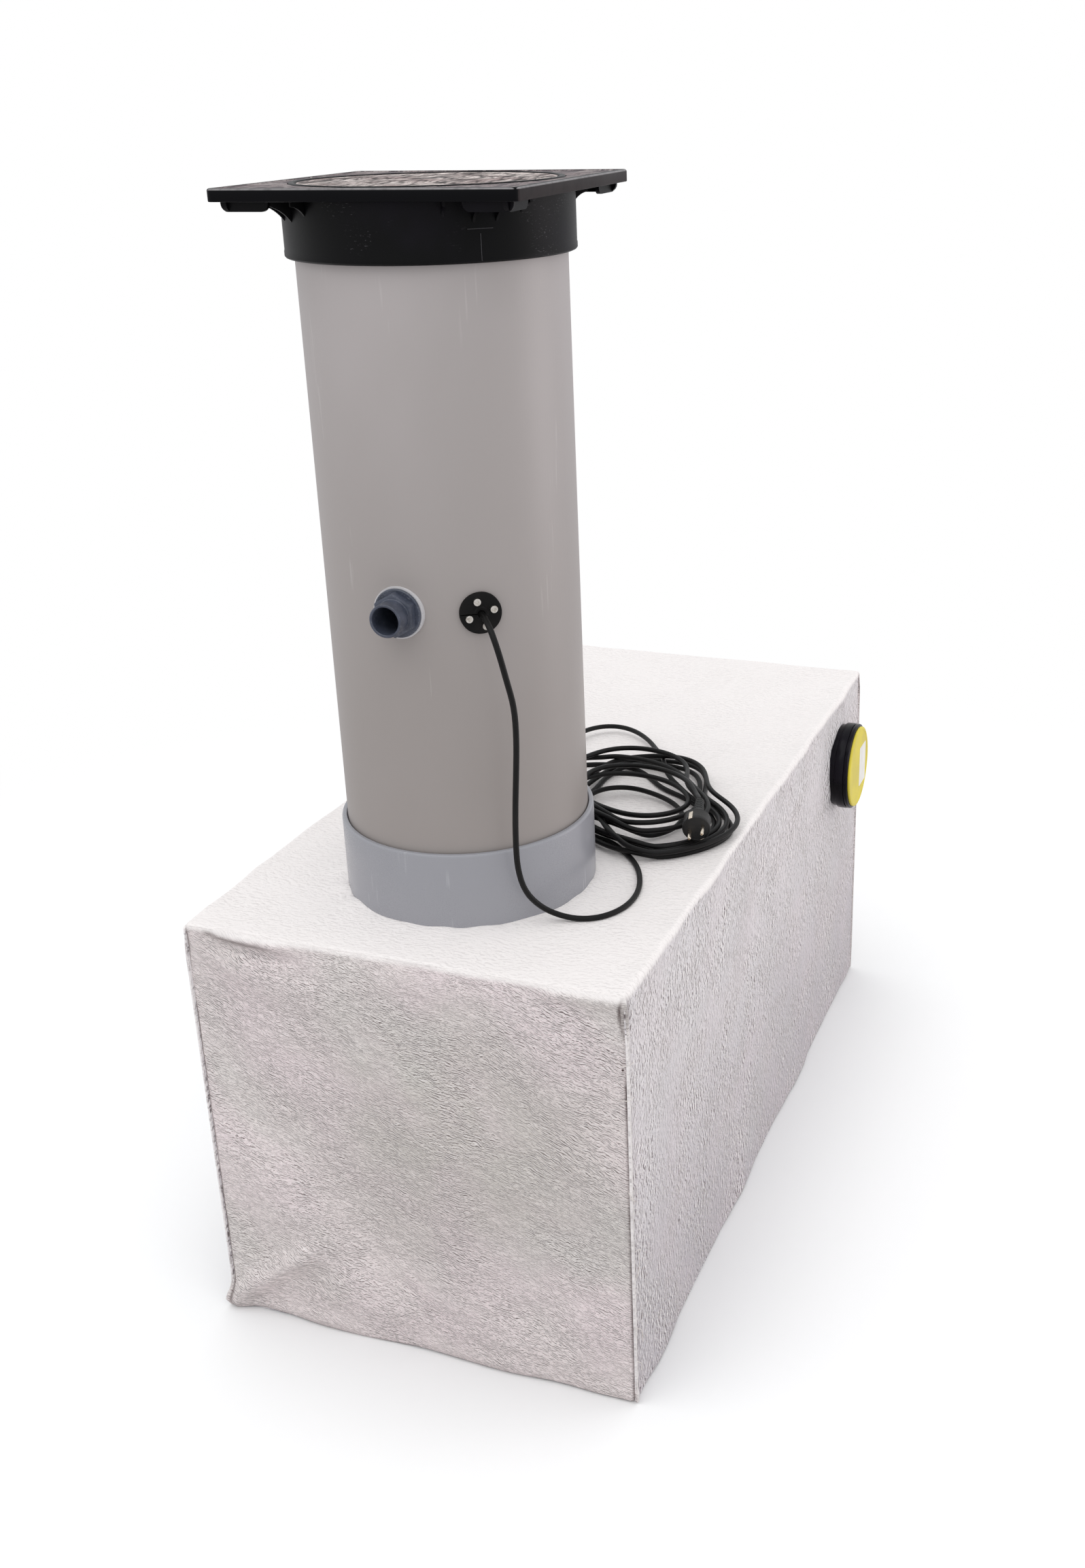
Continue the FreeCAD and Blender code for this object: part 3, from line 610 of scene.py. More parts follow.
class Bench:
    """Hand moves on meshes that the sub-assemblies share."""

    @staticmethod
    def clear() -> None:
        """Deselect everything."""
        for other in bpy.context.selected_objects:
            other.select_set(False)

    @classmethod
    def take(cls, piece: Piece) -> None:
        """Make one piece the only selected one and the active one."""
        cls.clear()
        piece.select_set(True)
        bpy.context.view_layer.objects.active = piece

    @classmethod
    def add(cls, name: str, operator: Callable, **settings: object) -> Piece:
        """Add an object with one of Blender's operators.

        Args:
            name: Name of the object.
            operator: The operator.
            **settings: What it is told.

        Returns:
            The object.
        """
        cls.clear()
        operator(**settings)
        made = bpy.context.object
        made.name = name
        return made

    @classmethod
    @contextmanager
    def editing(cls, piece: Piece) -> Iterator[None]:
        """Edit mode on one piece, for the length of a with block."""
        cls.take(piece)
        bpy.ops.object.mode_set(mode="EDIT")
        yield
        bpy.ops.object.mode_set(mode="OBJECT")

    @staticmethod
    def pick(piece: Piece, domain: Domain, test: Callable) -> None:
        """Select faces or edges in edit mode.

        Args:
            piece: The piece in edit mode.
            domain: Faces or edges.
            test: Says whether a bmesh face or edge is wanted.
        """
        bpy.ops.mesh.select_mode(type=domain.value)
        bpy.ops.mesh.select_all(action="DESELECT")
        work = bmesh.from_edit_mesh(piece.data)
        for item in work.faces if domain is Domain.FACE else work.edges:
            if test(item):
                item.select_set(True)
        work.select_flush_mode()
        bmesh.update_edit_mesh(piece.data)

    @classmethod
    def bevel(cls, piece: Piece, test: Callable, offset: float, segments: int) -> None:
        """Round edges of a piece in edit mode.

        Args:
            piece: The piece in edit mode.
            test: Says whether a bmesh edge is rounded.
            offset: Width of the round on each side of an edge.
            segments: Steps of the round.
        """
        cls.pick(piece, Domain.EDGE, test)
        bpy.ops.mesh.bevel(offset=offset, offset_type="OFFSET", segments=segments, affect="EDGES")

    @staticmethod
    def upright(edge: bmesh.types.BMEdge) -> bool:
        """Whether an edge runs along Z."""
        run = edge.verts[1].co - edge.verts[0].co
        return abs(run.z) > 0.9 * run.length

    @staticmethod
    def at_height(edge: bmesh.types.BMEdge, height: float) -> bool:
        """Whether both ends of an edge are at a height."""
        return all(abs(vertex.co.z - height) < DOUBLES for vertex in edge.verts)

    @staticmethod
    def faces_up(face: bmesh.types.BMFace) -> bool:
        """Whether a face looks up."""
        return face.normal.z > 0.9

    @classmethod
    def turned(cls, name: str, stations: Sequence[Pair], segments: int = 96) -> Piece:
        """Draw a ring out from station to station about +Z, as on a lathe.

        Args:
            name: Name of the piece.
            stations: Radius and height of each ring; a radius of 0 closes an end.
            segments: Points round a ring.

        Returns:
            The piece, with its axis on Z.
        """
        order = list(stations)
        closed_start = order[0][0] == 0.0
        if closed_start:
            order = order[1:]
        radius, height = order[0]
        fill = "TRIFAN" if closed_start else "NOTHING"
        circle = {"vertices": segments, "radius": radius, "fill_type": fill}
        piece = cls.add(name, bpy.ops.mesh.primitive_circle_add, **circle)
        with cls.editing(piece):
            bpy.ops.mesh.select_all(action="SELECT")
            bpy.ops.transform.translate(value=(0.0, 0.0, height))
            if closed_start:
                cls.pick(piece, Domain.EDGE, lambda edge: edge.is_boundary)
            for next_radius, next_height in order[1:]:
                step = (0.0, 0.0, next_height - height)
                bpy.ops.mesh.extrude_edges_move(TRANSFORM_OT_translate={"value": step})
                if next_radius == 0.0:
                    bpy.ops.mesh.merge(type="CENTER")
                    break
                share = next_radius / radius
                centre = (0.0, 0.0, next_height)
                bpy.ops.transform.resize(value=(share, share, 1.0), center_override=centre)
                radius, height = next_radius, next_height
        cls.tidy(piece)
        return piece

    @classmethod
    def tidy(cls, piece: Piece) -> None:
        """Merge doubles and turn every face outwards."""
        with cls.editing(piece):
            bpy.ops.mesh.select_all(action="SELECT")
            bpy.ops.mesh.remove_doubles(threshold=DOUBLES)
            bpy.ops.mesh.normals_make_consistent(inside=False)

    @classmethod
    def drill(cls, name: str, radius: float, low: float, high: float) -> Piece:
        """A round bar along Z to cut a hole with.

        Args:
            name: Name of the bar.
            radius: Its radius.
            low: Its lower end.
            high: Its upper end.

        Returns:
            The bar.
        """
        return cls.turned(name, [(0.0, low), (radius, low), (radius, high), (0.0, high)], 64)

    @classmethod
    def block(cls, name: str, low: Point, high: Point) -> Piece:
        """A box between two corners, ready for shaping.

        Args:
            name: Name of the piece.
            low: Lowest corner.
            high: Highest corner.

        Returns:
            The piece.
        """
        middle = [(a + b) / 2.0 for a, b in zip(low, high)]
        size = [b - a for a, b in zip(low, high)]
        piece = cls.add(name, bpy.ops.mesh.primitive_cube_add, size=1.0, location=middle, scale=size)
        bpy.ops.object.transform_apply()
        return piece

    @classmethod
    def place(cls, piece: Piece, matrix: Matrix) -> None:
        """Move a piece and put its place into its mesh."""
        cls.take(piece)
        piece.matrix_world = matrix
        bpy.ops.object.transform_apply()

    @classmethod
    def modify(cls, piece: Piece, kind: str, **settings: object) -> None:
        """Add a modifier and apply it.

        Args:
            piece: The piece.
            kind: The modifier's type.
            **settings: The modifier's properties.
        """
        cls.take(piece)
        modifier = piece.modifiers.new(kind.title(), kind)
        for key, setting in settings.items():
            setattr(modifier, key, setting)
        bpy.ops.object.modifier_apply(modifier=modifier.name)

    @classmethod
    def carve(cls, piece: Piece, tool: Piece) -> None:
        """Cut a tool's shape out of a piece and drop the tool."""
        cls.modify(piece, "BOOLEAN", object=tool, operation="DIFFERENCE", solver="EXACT")
        bpy.data.objects.remove(tool)

    @classmethod
    def join(cls, first: Piece, *others: Piece) -> Piece:
        """Join pieces of one moulding into the first."""
        cls.take(first)
        for other in others:
            other.select_set(True)
        bpy.ops.object.join()
        return first

    @staticmethod
    def tag(piece: Piece, name: str, levels: Grid) -> None:
        """Write a level for each point of a piece, for its finish to read."""
        layer = piece.data.attributes.new(name, "FLOAT", "POINT")
        layer.data.foreach_set("value", levels.reshape(-1).astype(np.float32))

    @classmethod
    def soften(cls, piece: Piece, angle: float = 35.0) -> None:
        """Shade a piece smooth up to an angle in degrees."""
        cls.take(piece)
        bpy.ops.object.shade_smooth_by_angle(angle=math.radians(angle))


class Extent:
    """Box of one of the part's own nodes."""

    def __init__(self, node: str) -> None:
        """Read the box from the frame."""
        self.low, self.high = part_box(node)
        self.middle = (self.low + self.high) / 2.0
        self.half = (self.high - self.low) / 2.0


def framed(place: Point, x: Point, y: Point, z: Point) -> Matrix:
    """A frame at a place, from its three axes."""
    return Matrix.Translation(place) @ Matrix((x, y, z)).transposed().to_4x4()


def settle(piece: Piece, finish: Finish, *nodes: str) -> Piece:
    """Dress a finished piece and fix it to the part.

    Args:
        piece: The piece, in place.
        finish: Its finish.
        *nodes: The part's nodes that it stands for.

    Returns:
        The piece.
    """
    piece.data.materials.clear()
    piece.data.materials.append(finish.material())
    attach(piece, BODY)
    if nodes:
        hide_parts(*nodes)
    LOG.info("%s stands for %s", piece.name, ", ".join(nodes) or "itself")
    return piece


def fit(piece: Piece, place: Matrix, finish: Finish, *nodes: str, angle: float = 35.0) -> None:
    """Put a piece in its place, shade it smooth up to an angle in degrees and settle it."""
    Bench.place(piece, place)
    Bench.soften(piece, angle)
    settle(piece, finish, *nodes)


def dress(finish: Finish, *nodes: str) -> None:
    """Give some of the part's own nodes a finish."""
    for node in nodes:
        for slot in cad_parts[node].material_slots:
            slot.material = finish.material()
        LOG.info("%s dressed as %s", node, finish.title)


@dataclass(frozen=True)
class Wave:
    """Soft irregular waves: their height, their typical length and the seed of their directions."""

    height: float
    length: float
    seed: int
    count: int = 9

    def over(self, first: Grid, second: Union[Grid, float] = 0.0, more: int = 0) -> Grid:
        """Heights of the waves.

        Args:
            first: First coordinate of each point.
            second: Second coordinate of each point, or 0 for waves along the first.
            more: What is added to the seed.

        Returns:
            The heights, about as far up and down as the waves are high.
        """
        chance = np.random.RandomState(self.seed + more)
        total = np.zeros_like(first)
        for _ in range(self.count):
            turn = chance.uniform(0.0, 2.0 * math.pi)
            rate = 2.0 * math.pi / (self.length * chance.uniform(0.7, 1.6))
            phase = chance.uniform(0.0, 2.0 * math.pi)
            total += np.sin(rate * (first * math.cos(turn) + second * math.sin(turn)) + phase)
        return self.height * total / math.sqrt(self.count) / 1.4


def swell(distance: Grid, width: Union[Grid, float], middle: float = 0.0) -> Grid:
    """A bell of height 1 and the given half width about a middle."""
    return np.exp(-(((distance - middle) / width) ** 2))


def rise(distance: Grid, width: float) -> Grid:
    """A straight rise from 0 to 1 over a width."""
    return np.clip(distance / width, 0.0, 1.0)


def net(first: Grid, second: Grid, third: Grid) -> Grid:
    """A net of points from rows and columns of their three numbers."""
    return np.stack(np.broadcast_arrays(first, second, third), axis=-1)


def flowing(marks: Grid, levels: Grid, at: Grid) -> Grid:
    """A smooth line through levels at marks that swings no further than they do.

    Args:
        marks: Where the levels are given, in rising order.
        levels: The levels.
        at: Where the line is wanted.

    Returns:
        The line's levels there.
    """
    slope = np.diff(levels) / np.diff(marks)
    both = slope[:-1] * slope[1:]
    total = np.where(both > 0.0, slope[:-1] + slope[1:], 1.0)
    lean = np.concatenate((slope[:1], np.where(both > 0.0, 2.0 * both / total, 0.0), slope[-1:]))
    index = np.clip(np.searchsorted(marks, at, side="right") - 1, 0, len(marks) - 2)
    width = marks[index + 1] - marks[index]
    part = (at - marks[index]) / width
    rest = 1.0 - part
    first = rest * rest * ((1.0 + 2.0 * part) * levels[index] + part * width * lean[index])
    second = part * part * ((1.0 + 2.0 * rest) * levels[index + 1] - rest * width * lean[index + 1])
    return first + second


class Corner(Enum):
    """A corner of the front panel, as side and level: 0 is the low end and 1 the high end."""

    LOWER_LEFT = (0, 0)
    UPPER_LEFT = (0, 1)
    UPPER_RIGHT = (1, 1)


@dataclass(frozen=True)
class Fold:
    """A soft ridge over the front panel that fades past its ends, or a hollow if its height is below 0.

    Its ends are measured from a corner of the panel.
    """

    height: float
    corner: Corner
    start: Pair
    end: Pair
    width: float

    def over(self, x: Grid, z: Grid, ends: tuple[Grid, Grid]) -> Grid:
        """Heights of the fold.

        Args:
            x: Place of each point from side to side.
            z: Its level.
            ends: Lowest and highest corner of the crate.

        Returns:
            The fold's height at each point.
        """
        side, level = self.corner.value
        first = x - ends[side][0] - self.start[0]
        second = z - ends[level][2] - self.start[1]
        run = np.array(self.end) - np.array(self.start)
        length = float(np.hypot(*run))
        run = run / length
        along = first * run[0] + second * run[1]
        across = second * run[0] - first * run[1]
        past = np.maximum(0.0, np.maximum(-along, along - length))
        return self.height * swell(across, self.width) * swell(past, 2.0 * self.width)


@dataclass
class Wrap:
    """The geotextile wrap: a band over the sides and top, and a panel sewn in at each end."""

    thickness: float = 0.0028
    edge_round: float = 0.0065
    seam_round: float = 0.0035
    round_run: float = 0.05
    seam_height: float = 0.0030
    seam_width: float = 0.0016
    seam_groove: float = 0.0034
    seam_line: float = 0.0037
    seam_bow: float = 0.0058
    piping: float = 0.0010
    # Half width and middle of stretches of a seam, measured down from the crate's top.
    bowed: Pair = (0.021, 0.026)
    tucked: Pair = (0.026, 0.030)
    fading: Pair = (0.034, 0.090)
    caked: Pair = (0.030, 0.145)
    sink: float = -0.0016
    stop: float = 0.0009
    right_pitch: float = 0.0085
    top_pitch: float = 0.0072
    left_pitch: float = 0.014
    base_pitch: float = 0.04
    band_pitch: float = 0.0078
    front_pitch: float = 0.0068
    back_pitch: float = 0.0105
    band_lay: float = 0.20
    end_lay: float = 0.30
    # Third number of places on the flat cloth, which is 0 on the band: it sets the patterns apart.
    front_cut: float = 2.0
    back_cut: float = 5.0
    # What the back panel adds to the seeds of the end panels' waves.
    back_seeds: int = 10
    side_waves: Wave = Wave(0.0026, 0.24, 3)
    side_rucks: Wave = Wave(0.0010, 0.07, 5)
    top_waves: Wave = Wave(0.0007, 0.11, 7)
    edge_waves: Wave = Wave(0.0014, 0.16, 13)
    end_waves: Wave = Wave(0.0030, 0.21, 21)
    end_rucks: Wave = Wave(0.0011, 0.075, 22)
    end_edge: Wave = Wave(0.0020, 0.12, 23)
    end_breaks: Wave = Wave(0.26, 0.07, 24)
    band_breaks: Wave = Wave(0.26, 0.07, 51)
    # Painted shadow beside the band's seams comes and goes along them with these waves.
    dust: Wave = Wave(0.5, 0.16, 52)
    hem_waves: Wave = Wave(0.5, 0.16, 44)
    hem_soil: Wave = Wave(0.16, 0.11, 61)
    hole_depth: float = 0.03
    pucker_height: float = 0.0075
    ruffle_height: float = 0.0080
    pocket_depth: float = 0.0050
    slack: float = 0.0045
    hem: float = 0.0032
    flat_band: Pair = (1.2, 2.4)
    flat_end: Pair = (0.6, 0.6)
    finish: Geotextile = Geotextile("needled geotextile", "geotextile")
    thread: SewingThread = SewingThread("sewing thread", "geotextile")
    thread_radius: float = 0.0005
    thread_stand: float = 0.0012
    edge_steps: tuple[float, ...] = (
        0.0, 0.0011, 0.0022, 0.0034, 0.0048, 0.0065, 0.0085, 0.0105, 0.0135, 0.019,
    )
    folds: tuple[Fold, ...] = (
        Fold(0.0065, Corner.UPPER_LEFT, (0.060, -0.005), (0.135, -0.009), 0.008),
        Fold(-0.0060, Corner.UPPER_LEFT, (0.066, -0.022), (0.150, -0.027), 0.008),
        Fold(0.0060, Corner.UPPER_LEFT, (0.080, -0.055), (0.160, -0.070), 0.022),
        Fold(0.0120, Corner.LOWER_LEFT, (0.014, 0.024), (0.118, 0.112), 0.014),
        Fold(-0.0062, Corner.LOWER_LEFT, (0.056, 0.020), (0.150, 0.088), 0.018),
        Fold(0.0050, Corner.LOWER_LEFT, (0.010, 0.010), (0.060, 0.012), 0.010),
        Fold(0.0050, Corner.UPPER_RIGHT, (-0.090, -0.012), (-0.014, -0.010), 0.009),
        Fold(-0.0030, Corner.UPPER_RIGHT, (-0.085, -0.028), (-0.020, -0.026), 0.008),
    )
    # Dirt and painted shade that lie as folds do: the heights are levels of the stain. The first is painted
    # shade under the upper fold's overhang, the second dirt in the knot beside the seam.
    soiled_and_shaded: tuple[Fold, ...] = (
        Fold(0.55, Corner.UPPER_LEFT, (0.036, -0.007), (0.118, -0.015), 0.0035),
        Fold(0.50, Corner.UPPER_RIGHT, (-0.0026, -0.120), (-0.0024, -0.136), 0.0014),
    )
    # Loose ends and stitches: start, bend and end, measured from the foot of the inlet side's front edge.
    stitches: tuple[tuple[Point, Point, Point], ...] = (
        ((0.0, 0.004, 0.238), (0.004, 0.010, 0.240), (0.003, 0.016, 0.232)),
        ((0.002, 0.013, 0.232), (0.004, 0.010, 0.214), (0.001, 0.004, 0.196)),
        ((0.0, 0.005, 0.118), (0.004, 0.013, 0.112), (0.003, 0.017, 0.088)),
        ((0.0, 0.004, 0.066), (0.004, 0.010, 0.060), (0.002, 0.012, 0.046)),
        ((-0.010, -0.001, 0.508), (0.0, -0.001, 0.509), (0.002, 0.012, 0.508)),
        ((-0.012, -0.001, 0.460), (0.0, -0.001, 0.461), (0.002, 0.010, 0.461)),
        ((-0.004, -0.001, 0.330), (0.0, -0.003, 0.322), (0.003, 0.003, 0.316)),
    )

    def __post_init__(self) -> None:
        """Read the crate's size and the two pipes' places from the frame."""
        self.low, self.high = np.array(Extent("fabric_base").low), np.array(Extent("fabric_top").high)
        socket, stub = Extent("riser_socket"), Extent("inlet_stub")
        self.foot, self.socket_radius = (socket.middle.x, socket.middle.y), socket.half.x
        self.inlet, self.inlet_radius = (stub.middle.y, stub.middle.z), stub.half.z

    def marks(self, low: float, high: float, pitch: float) -> Grid:
        """Places of the cloth's points between two seams, close together near the seams.

        Args:
            low: First seam.
            high: Second seam.
            pitch: Spacing away from the seams.

        Returns:
            The places in order.
        """
        steps = np.array(self.edge_steps)
        count = max(2, round((high - low - 2.0 * steps[-1]) / pitch))
        middle = np.linspace(low + steps[-1], high - steps[-1], count + 1)
        return np.concatenate((low + steps[:-1], middle, high - steps[-2::-1]))

    def rounded(self, flat: Grid) -> tuple[Grid, Grid]:
        """Lay points of the sharp box onto the box with soft edges.

        Args:
            flat: Points on the sharp box, three numbers each.

        Returns:
            The points on the soft box, and its outward directions there.
        """
        upright = np.minimum(flat[..., 2] - self.low[2], self.high[2] - flat[..., 2])
        blend = rise(upright, self.round_run)[..., None]
        radius = self.edge_round + (self.seam_round - self.edge_round) * blend
        core = np.clip(flat, self.low + radius, self.high - radius)
        out = flat - core
        out = out / np.maximum(np.linalg.norm(out, axis=-1, keepdims=True), 1e-9)
        return core + out * radius, out

    def off_crate(self, lift: Grid) -> Grid:
        """Keep the cloth from sinking into the crate, with a soft stop."""
        return self.sink + self.stop * np.logaddexp(0.0, (lift - self.sink) / self.stop)

    def seam(self, gap: Grid) -> Grid:
        """Relief of the sewn edge: a ridge on the edge and a groove beside it."""
        groove = 0.8 * swell(gap, self.seam_width, self.seam_groove)
        return self.seam_height * (swell(gap, self.seam_width) - groove)

    def seam_soil_and_shade(self, gap: Grid, z: Grid, right: Grid, breaks: Grid) -> Grid:
        """Dirt in the seam's groove and painted shade in the pocket where it bows, above 0, and the pale
        piping beside it, below 0.

        Args:
            gap: Distance of each point from the edge.
            z: Its height.
            right: Whether it is on the inlet's side, where the seam bows.
            breaks: How the dirt in the groove comes and goes along the seam.

        Returns:
            The stain of each point.
        """
        below = self.high[2] - z
        bow = swell(below, *self.bowed) * np.where(right, 1.0, 0.25)
        line = self.seam_line + self.seam_bow * bow
        soil_and_shade = 0.74 + breaks - 0.8 * swell(below, *self.fading) + 0.5 * swell(below, *self.caked)
        soil_and_shade = np.clip(soil_and_shade, 0.10, 1.0) * rise(below, 0.012)
        groove = soil_and_shade * swell(gap - line, 0.0012 + 0.0013 * bow)
        # Painted shade in the pocket between the bowed line and the edge.
        pocket_shade = 0.34 * bow * (gap < line)
        piping = 0.9 * swell(gap, self.piping) * np.clip(1.0 - 1.6 * bow, 0.0, 1.0)
        return np.maximum(groove, pocket_shade) - piping

    def sheet(self, name: str, points: Grid, cloth: Grid, stain: Grid) -> Piece:
        """Make a cloth panel from a grid primitive.

        Args:
            name: Name of the panel.
            points: Net of the panel's points.
            cloth: Place of each point on the flat cloth.
            stain: How dark each point is painted, from -1, pale, to 1: dirt, and painted shade in tucks,
                under folds and beside seams.

        Returns:
            The panel, one layer thick.
        """
        rows, columns, _ = points.shape
        cells = {"x_subdivisions": columns - 1, "y_subdivisions": rows - 1}
        panel = Bench.add(name, bpy.ops.mesh.primitive_grid_add, size=1.0, **cells)
        panel.data.vertices.foreach_set("co", points.reshape(-1).astype(np.float32))
        layer = panel.data.attributes.new(CLOTH, "FLOAT_VECTOR", "POINT")
        layer.data.foreach_set("vector", cloth.reshape(-1).astype(np.float32))
        Bench.tag(panel, STAIN_AND_SHADE, stain)
        panel.data.update()
        return panel

    def thicken(self, panel: Piece) -> None:
        """Face a panel outwards, give it its thickness and shade it."""
        middle = Vector((self.low + self.high) / 2.0)
        inward = [(face.center - middle).dot(face.normal) < 0.0 for face in panel.data.polygons]
        if 2 * sum(inward) > len(inward):
            with Bench.editing(panel):
                bpy.ops.mesh.select_all(action="SELECT")
                bpy.ops.mesh.flip_normals()
        Bench.modify(panel, "SOLIDIFY", thickness=self.thickness, offset=-1.0)
        Bench.soften(panel, 60.0)

    def pierce(
        self, panel: Piece, axes: tuple[int, int], level: float, hole: Pair, radius: float
    ) -> None:
        """Cut a round hole whose rim lies on a circle.

        Args:
            panel: The panel.
            axes: The two directions in the hole's plane.
            level: The hole is on the panel's side where the third direction is above this.
            hole: Centre of the hole.
            radius: Radius of the hole.
        """
        normal = 3 - axes[0] - axes[1]

        def gap(co: Vector) -> float:
            """Distance from the hole's axis."""
            return math.hypot(co[axes[0]] - hole[0], co[axes[1]] - hole[1])

        with Bench.editing(panel):
            Bench.pick(
                panel,
                Domain.FACE,
                lambda face: all(v.co[normal] > level and gap(v.co) < radius for v in face.verts),
            )
            bpy.ops.mesh.delete(type="FACE")
        for vertex in panel.data.vertices:
            reach = gap(vertex.co)
            if vertex.co[normal] > level and reach < radius:
                for axis, middle in zip(axes, hole):
                    vertex.co[axis] = middle + (vertex.co[axis] - middle) * radius / reach

    def band_points(self) -> tuple[Grid, Grid]:
        """Points of the band that runs round the crate over base, right side, top and left side.

        Returns:
            The points on the sharp box and their places on the flat cloth.
        """
        low, high = self.low, self.high
        right = self.marks(low[2], high[2], self.right_pitch)
        top = self.marks(low[0], high[0], self.top_pitch)[::-1]
        left = self.marks(low[2], high[2], self.left_pitch)[::-1]
        base = self.marks(low[0], high[0], self.base_pitch)
        corners = [(high[0], z) for z in right]
        corners += [(x, high[2]) for x in top[1:]]
        corners += [(low[0], z) for z in left[1:]]
        corners += [(x, low[2]) for x in base[1:]]
        loop = np.array(corners)
        run = np.concatenate(((0.0,), np.cumsum(np.hypot(*np.diff(loop, axis=0).T))))
        across = self.marks(low[1], high[1], self.band_pitch)
        drape = self.band_lay * (loop[:, 1:] - high[2])
        return net(loop[:, :1], across, loop[:, 1:]), net(run[:, None], across - drape, 0.0)

    def build_band(self) -> Piece:
        """The band with its holes for the riser's socket and the inlet."""
        flat, cloth = self.band_points()
        soft, out = self.rounded(flat)
        x, y, z = np.moveaxis(flat, -1, 0)
        gap = np.minimum(y - self.low[1], self.high[1] - y)
        on_top = np.clip(out[..., 2], 0.0, 1.0)
        on_side = np.abs(out[..., 0])
        free = rise(gap, 0.05)
        waves = self.side_waves.over(y, z + 1.7 * x) + self.side_rucks.over(y, z + 0.6 * x)
        lift = waves * on_side * free + self.top_waves.over(x, y) * on_top * free
        lift += self.seam(gap) * (1.0 - on_top)
        lift += self.pucker(x, y) * on_top
        lift += self.ruffle(y, z) * (x > 0.0) * on_side
        lift += self.corner_pockets(flat, gap) * on_side
        lift *= np.where(out[..., 2] < -0.5, 0.0, 1.0)
        edge = np.abs(np.abs(x) - self.high[0]) + np.abs(z - self.high[2])
        lift += (0.0012 + self.edge_waves.over(y)) * swell(edge, 0.02) * free
        # Painted shadow on the band beside its seams, coming and going along them.
        dusty = np.clip(0.5 + self.dust.over(z), 0.0, 1.0) * swell(gap, 0.007, 0.005)
        sewn = self.seam_soil_and_shade(gap, z, x > 0.0, self.band_breaks.over(z))
        stain = (np.where(sewn > 0.0, 0.5 * sewn, sewn) + 0.20 * dusty) * on_side
        band = self.sheet("wrap_band", soft + out * self.off_crate(lift)[..., None], cloth, stain)
        self.pierce(band, (0, 1), self.high[2] - self.hole_depth, self.foot, self.socket_radius)
        self.pierce(band, (1, 2), self.high[0] - self.hole_depth, self.inlet, self.inlet_radius)
        self.thicken(band)
        return settle(band, self.finish, "fabric_base", "fabric_top", "fabric_left", "fabric_right")

    def pucker(self, x: Grid, y: Grid) -> Grid:
        """Small radial folds where the cloth is pulled up round the socket, strongest on its left."""
        dx, dy = x - self.foot[0], y - self.foot[1]
        reach = np.hypot(dx, dy) - self.socket_radius
        turn = np.arctan2(dy, dx)
        left = 0.25 + 0.75 * swell(np.arctan2(np.sin(turn - 3.5), np.cos(turn - 3.5)), 0.55)
        folds = 0.55 + 0.45 * np.sin(17.0 * turn + 1.3 * np.sin(5.0 * turn))
        return self.pucker_height * left * folds * swell(np.maximum(reach, 0.0), 0.019)

    def ruffle(self, y: Grid, z: Grid) -> Grid:
        """The cut edge of the cloth standing out round the inlet."""
        dy, dz = y - self.inlet[0], z - self.inlet[1]
        reach = np.hypot(dy, dz) - self.inlet_radius
        turn = np.arctan2(dz, dy)
        folds = 0.6 + 0.14 * np.sin(4.0 * turn + 0.8) + 0.06 * np.sin(9.0 * turn + 1.0)
        return self.ruffle_height * folds * swell(np.maximum(reach, 0.0), 0.011)

    def corner_pockets(self, flat: Grid, gap: Grid) -> Grid:
        """The tuck behind the end panel at each upper corner."""
        below = self.high[2] - flat[..., 2]
        tuck = swell(below, *self.tucked) * np.where(flat[..., 0] > 0.0, 1.0, 0.3)
        return -self.pocket_depth * tuck * swell(gap, 0.007, 0.004)

    def end_panel(self, name: str, front: bool) -> Piece:
        """One end panel with its seams and slack.

        Args:
            name: Name of the panel.
            front: Whether it is the panel on the riser's side.

        Returns:
            The panel.
        """
        low, high = self.low, self.high
        pitch = self.front_pitch if front else self.back_pitch
        rows = self.marks(low[2], high[2], pitch)[:, None]
        columns = self.marks(low[0], high[0], pitch)
        flat = net(columns, low[1] if front else high[1], rows)
        cloth = net(columns, rows + self.end_lay * columns, self.front_cut if front else self.back_cut)
        soft, out = self.rounded(flat)
        x, z = flat[..., 0], flat[..., 2]
        gap, below = np.minimum(x - low[0], high[0] - x), high[2] - z
        free = rise(gap, 0.06) * rise(below, 0.05)
        more = 0 if front else self.back_seeds
        lift = (self.end_waves.over(x, z, more) + self.end_rucks.over(x, z, more)) * free
        lift += self.seam(gap) * rise(below, 0.03)
        lift += self.end_edge.over(x, more=more) * swell(below, 0.014)
        stain = self.seam_soil_and_shade(gap, z, x > 0.0, self.end_breaks.over(z, more=more))
        if front:
            lift += self.front_folds(x, z)
            stain += self.front_soil_and_shade(x, z)
        panel = self.sheet(name, soft + out * self.off_crate(lift)[..., None], cloth, stain)
        self.thicken(panel)
        return settle(panel, self.finish, "fabric_front" if front else "fabric_back")

    def front_folds(self, x: Grid, z: Grid) -> Grid:
        """The front panel's folds, the slack in its middle and the hem along its foot."""
        (left, _, foot), (right, _, top) = self.low, self.high
        inner = rise(x - left, 0.08) * rise(right - x, 0.08) * rise(top - z, 0.03) * rise(z - foot, 0.05)
        hem = swell(z - foot, 0.012, 0.012) * (1.0 + self.hem_waves.over(x))
        folds = sum(fold.over(x, z, (self.low, self.high)) for fold in self.folds)
        return self.slack * inner + self.hem * hem + folds

    def front_soil_and_shade(self, x: Grid, z: Grid) -> Grid:
        """Painted shade in the fold under the upper edge, dirt in the knot beside the seam and along the
        hem.
        """
        hem = (0.42 + self.hem_soil.over(x)) * swell(z - self.low[2], 0.0042)
        return hem + sum(fold.over(x, z, (self.low, self.high)) for fold in self.soiled_and_shaded)

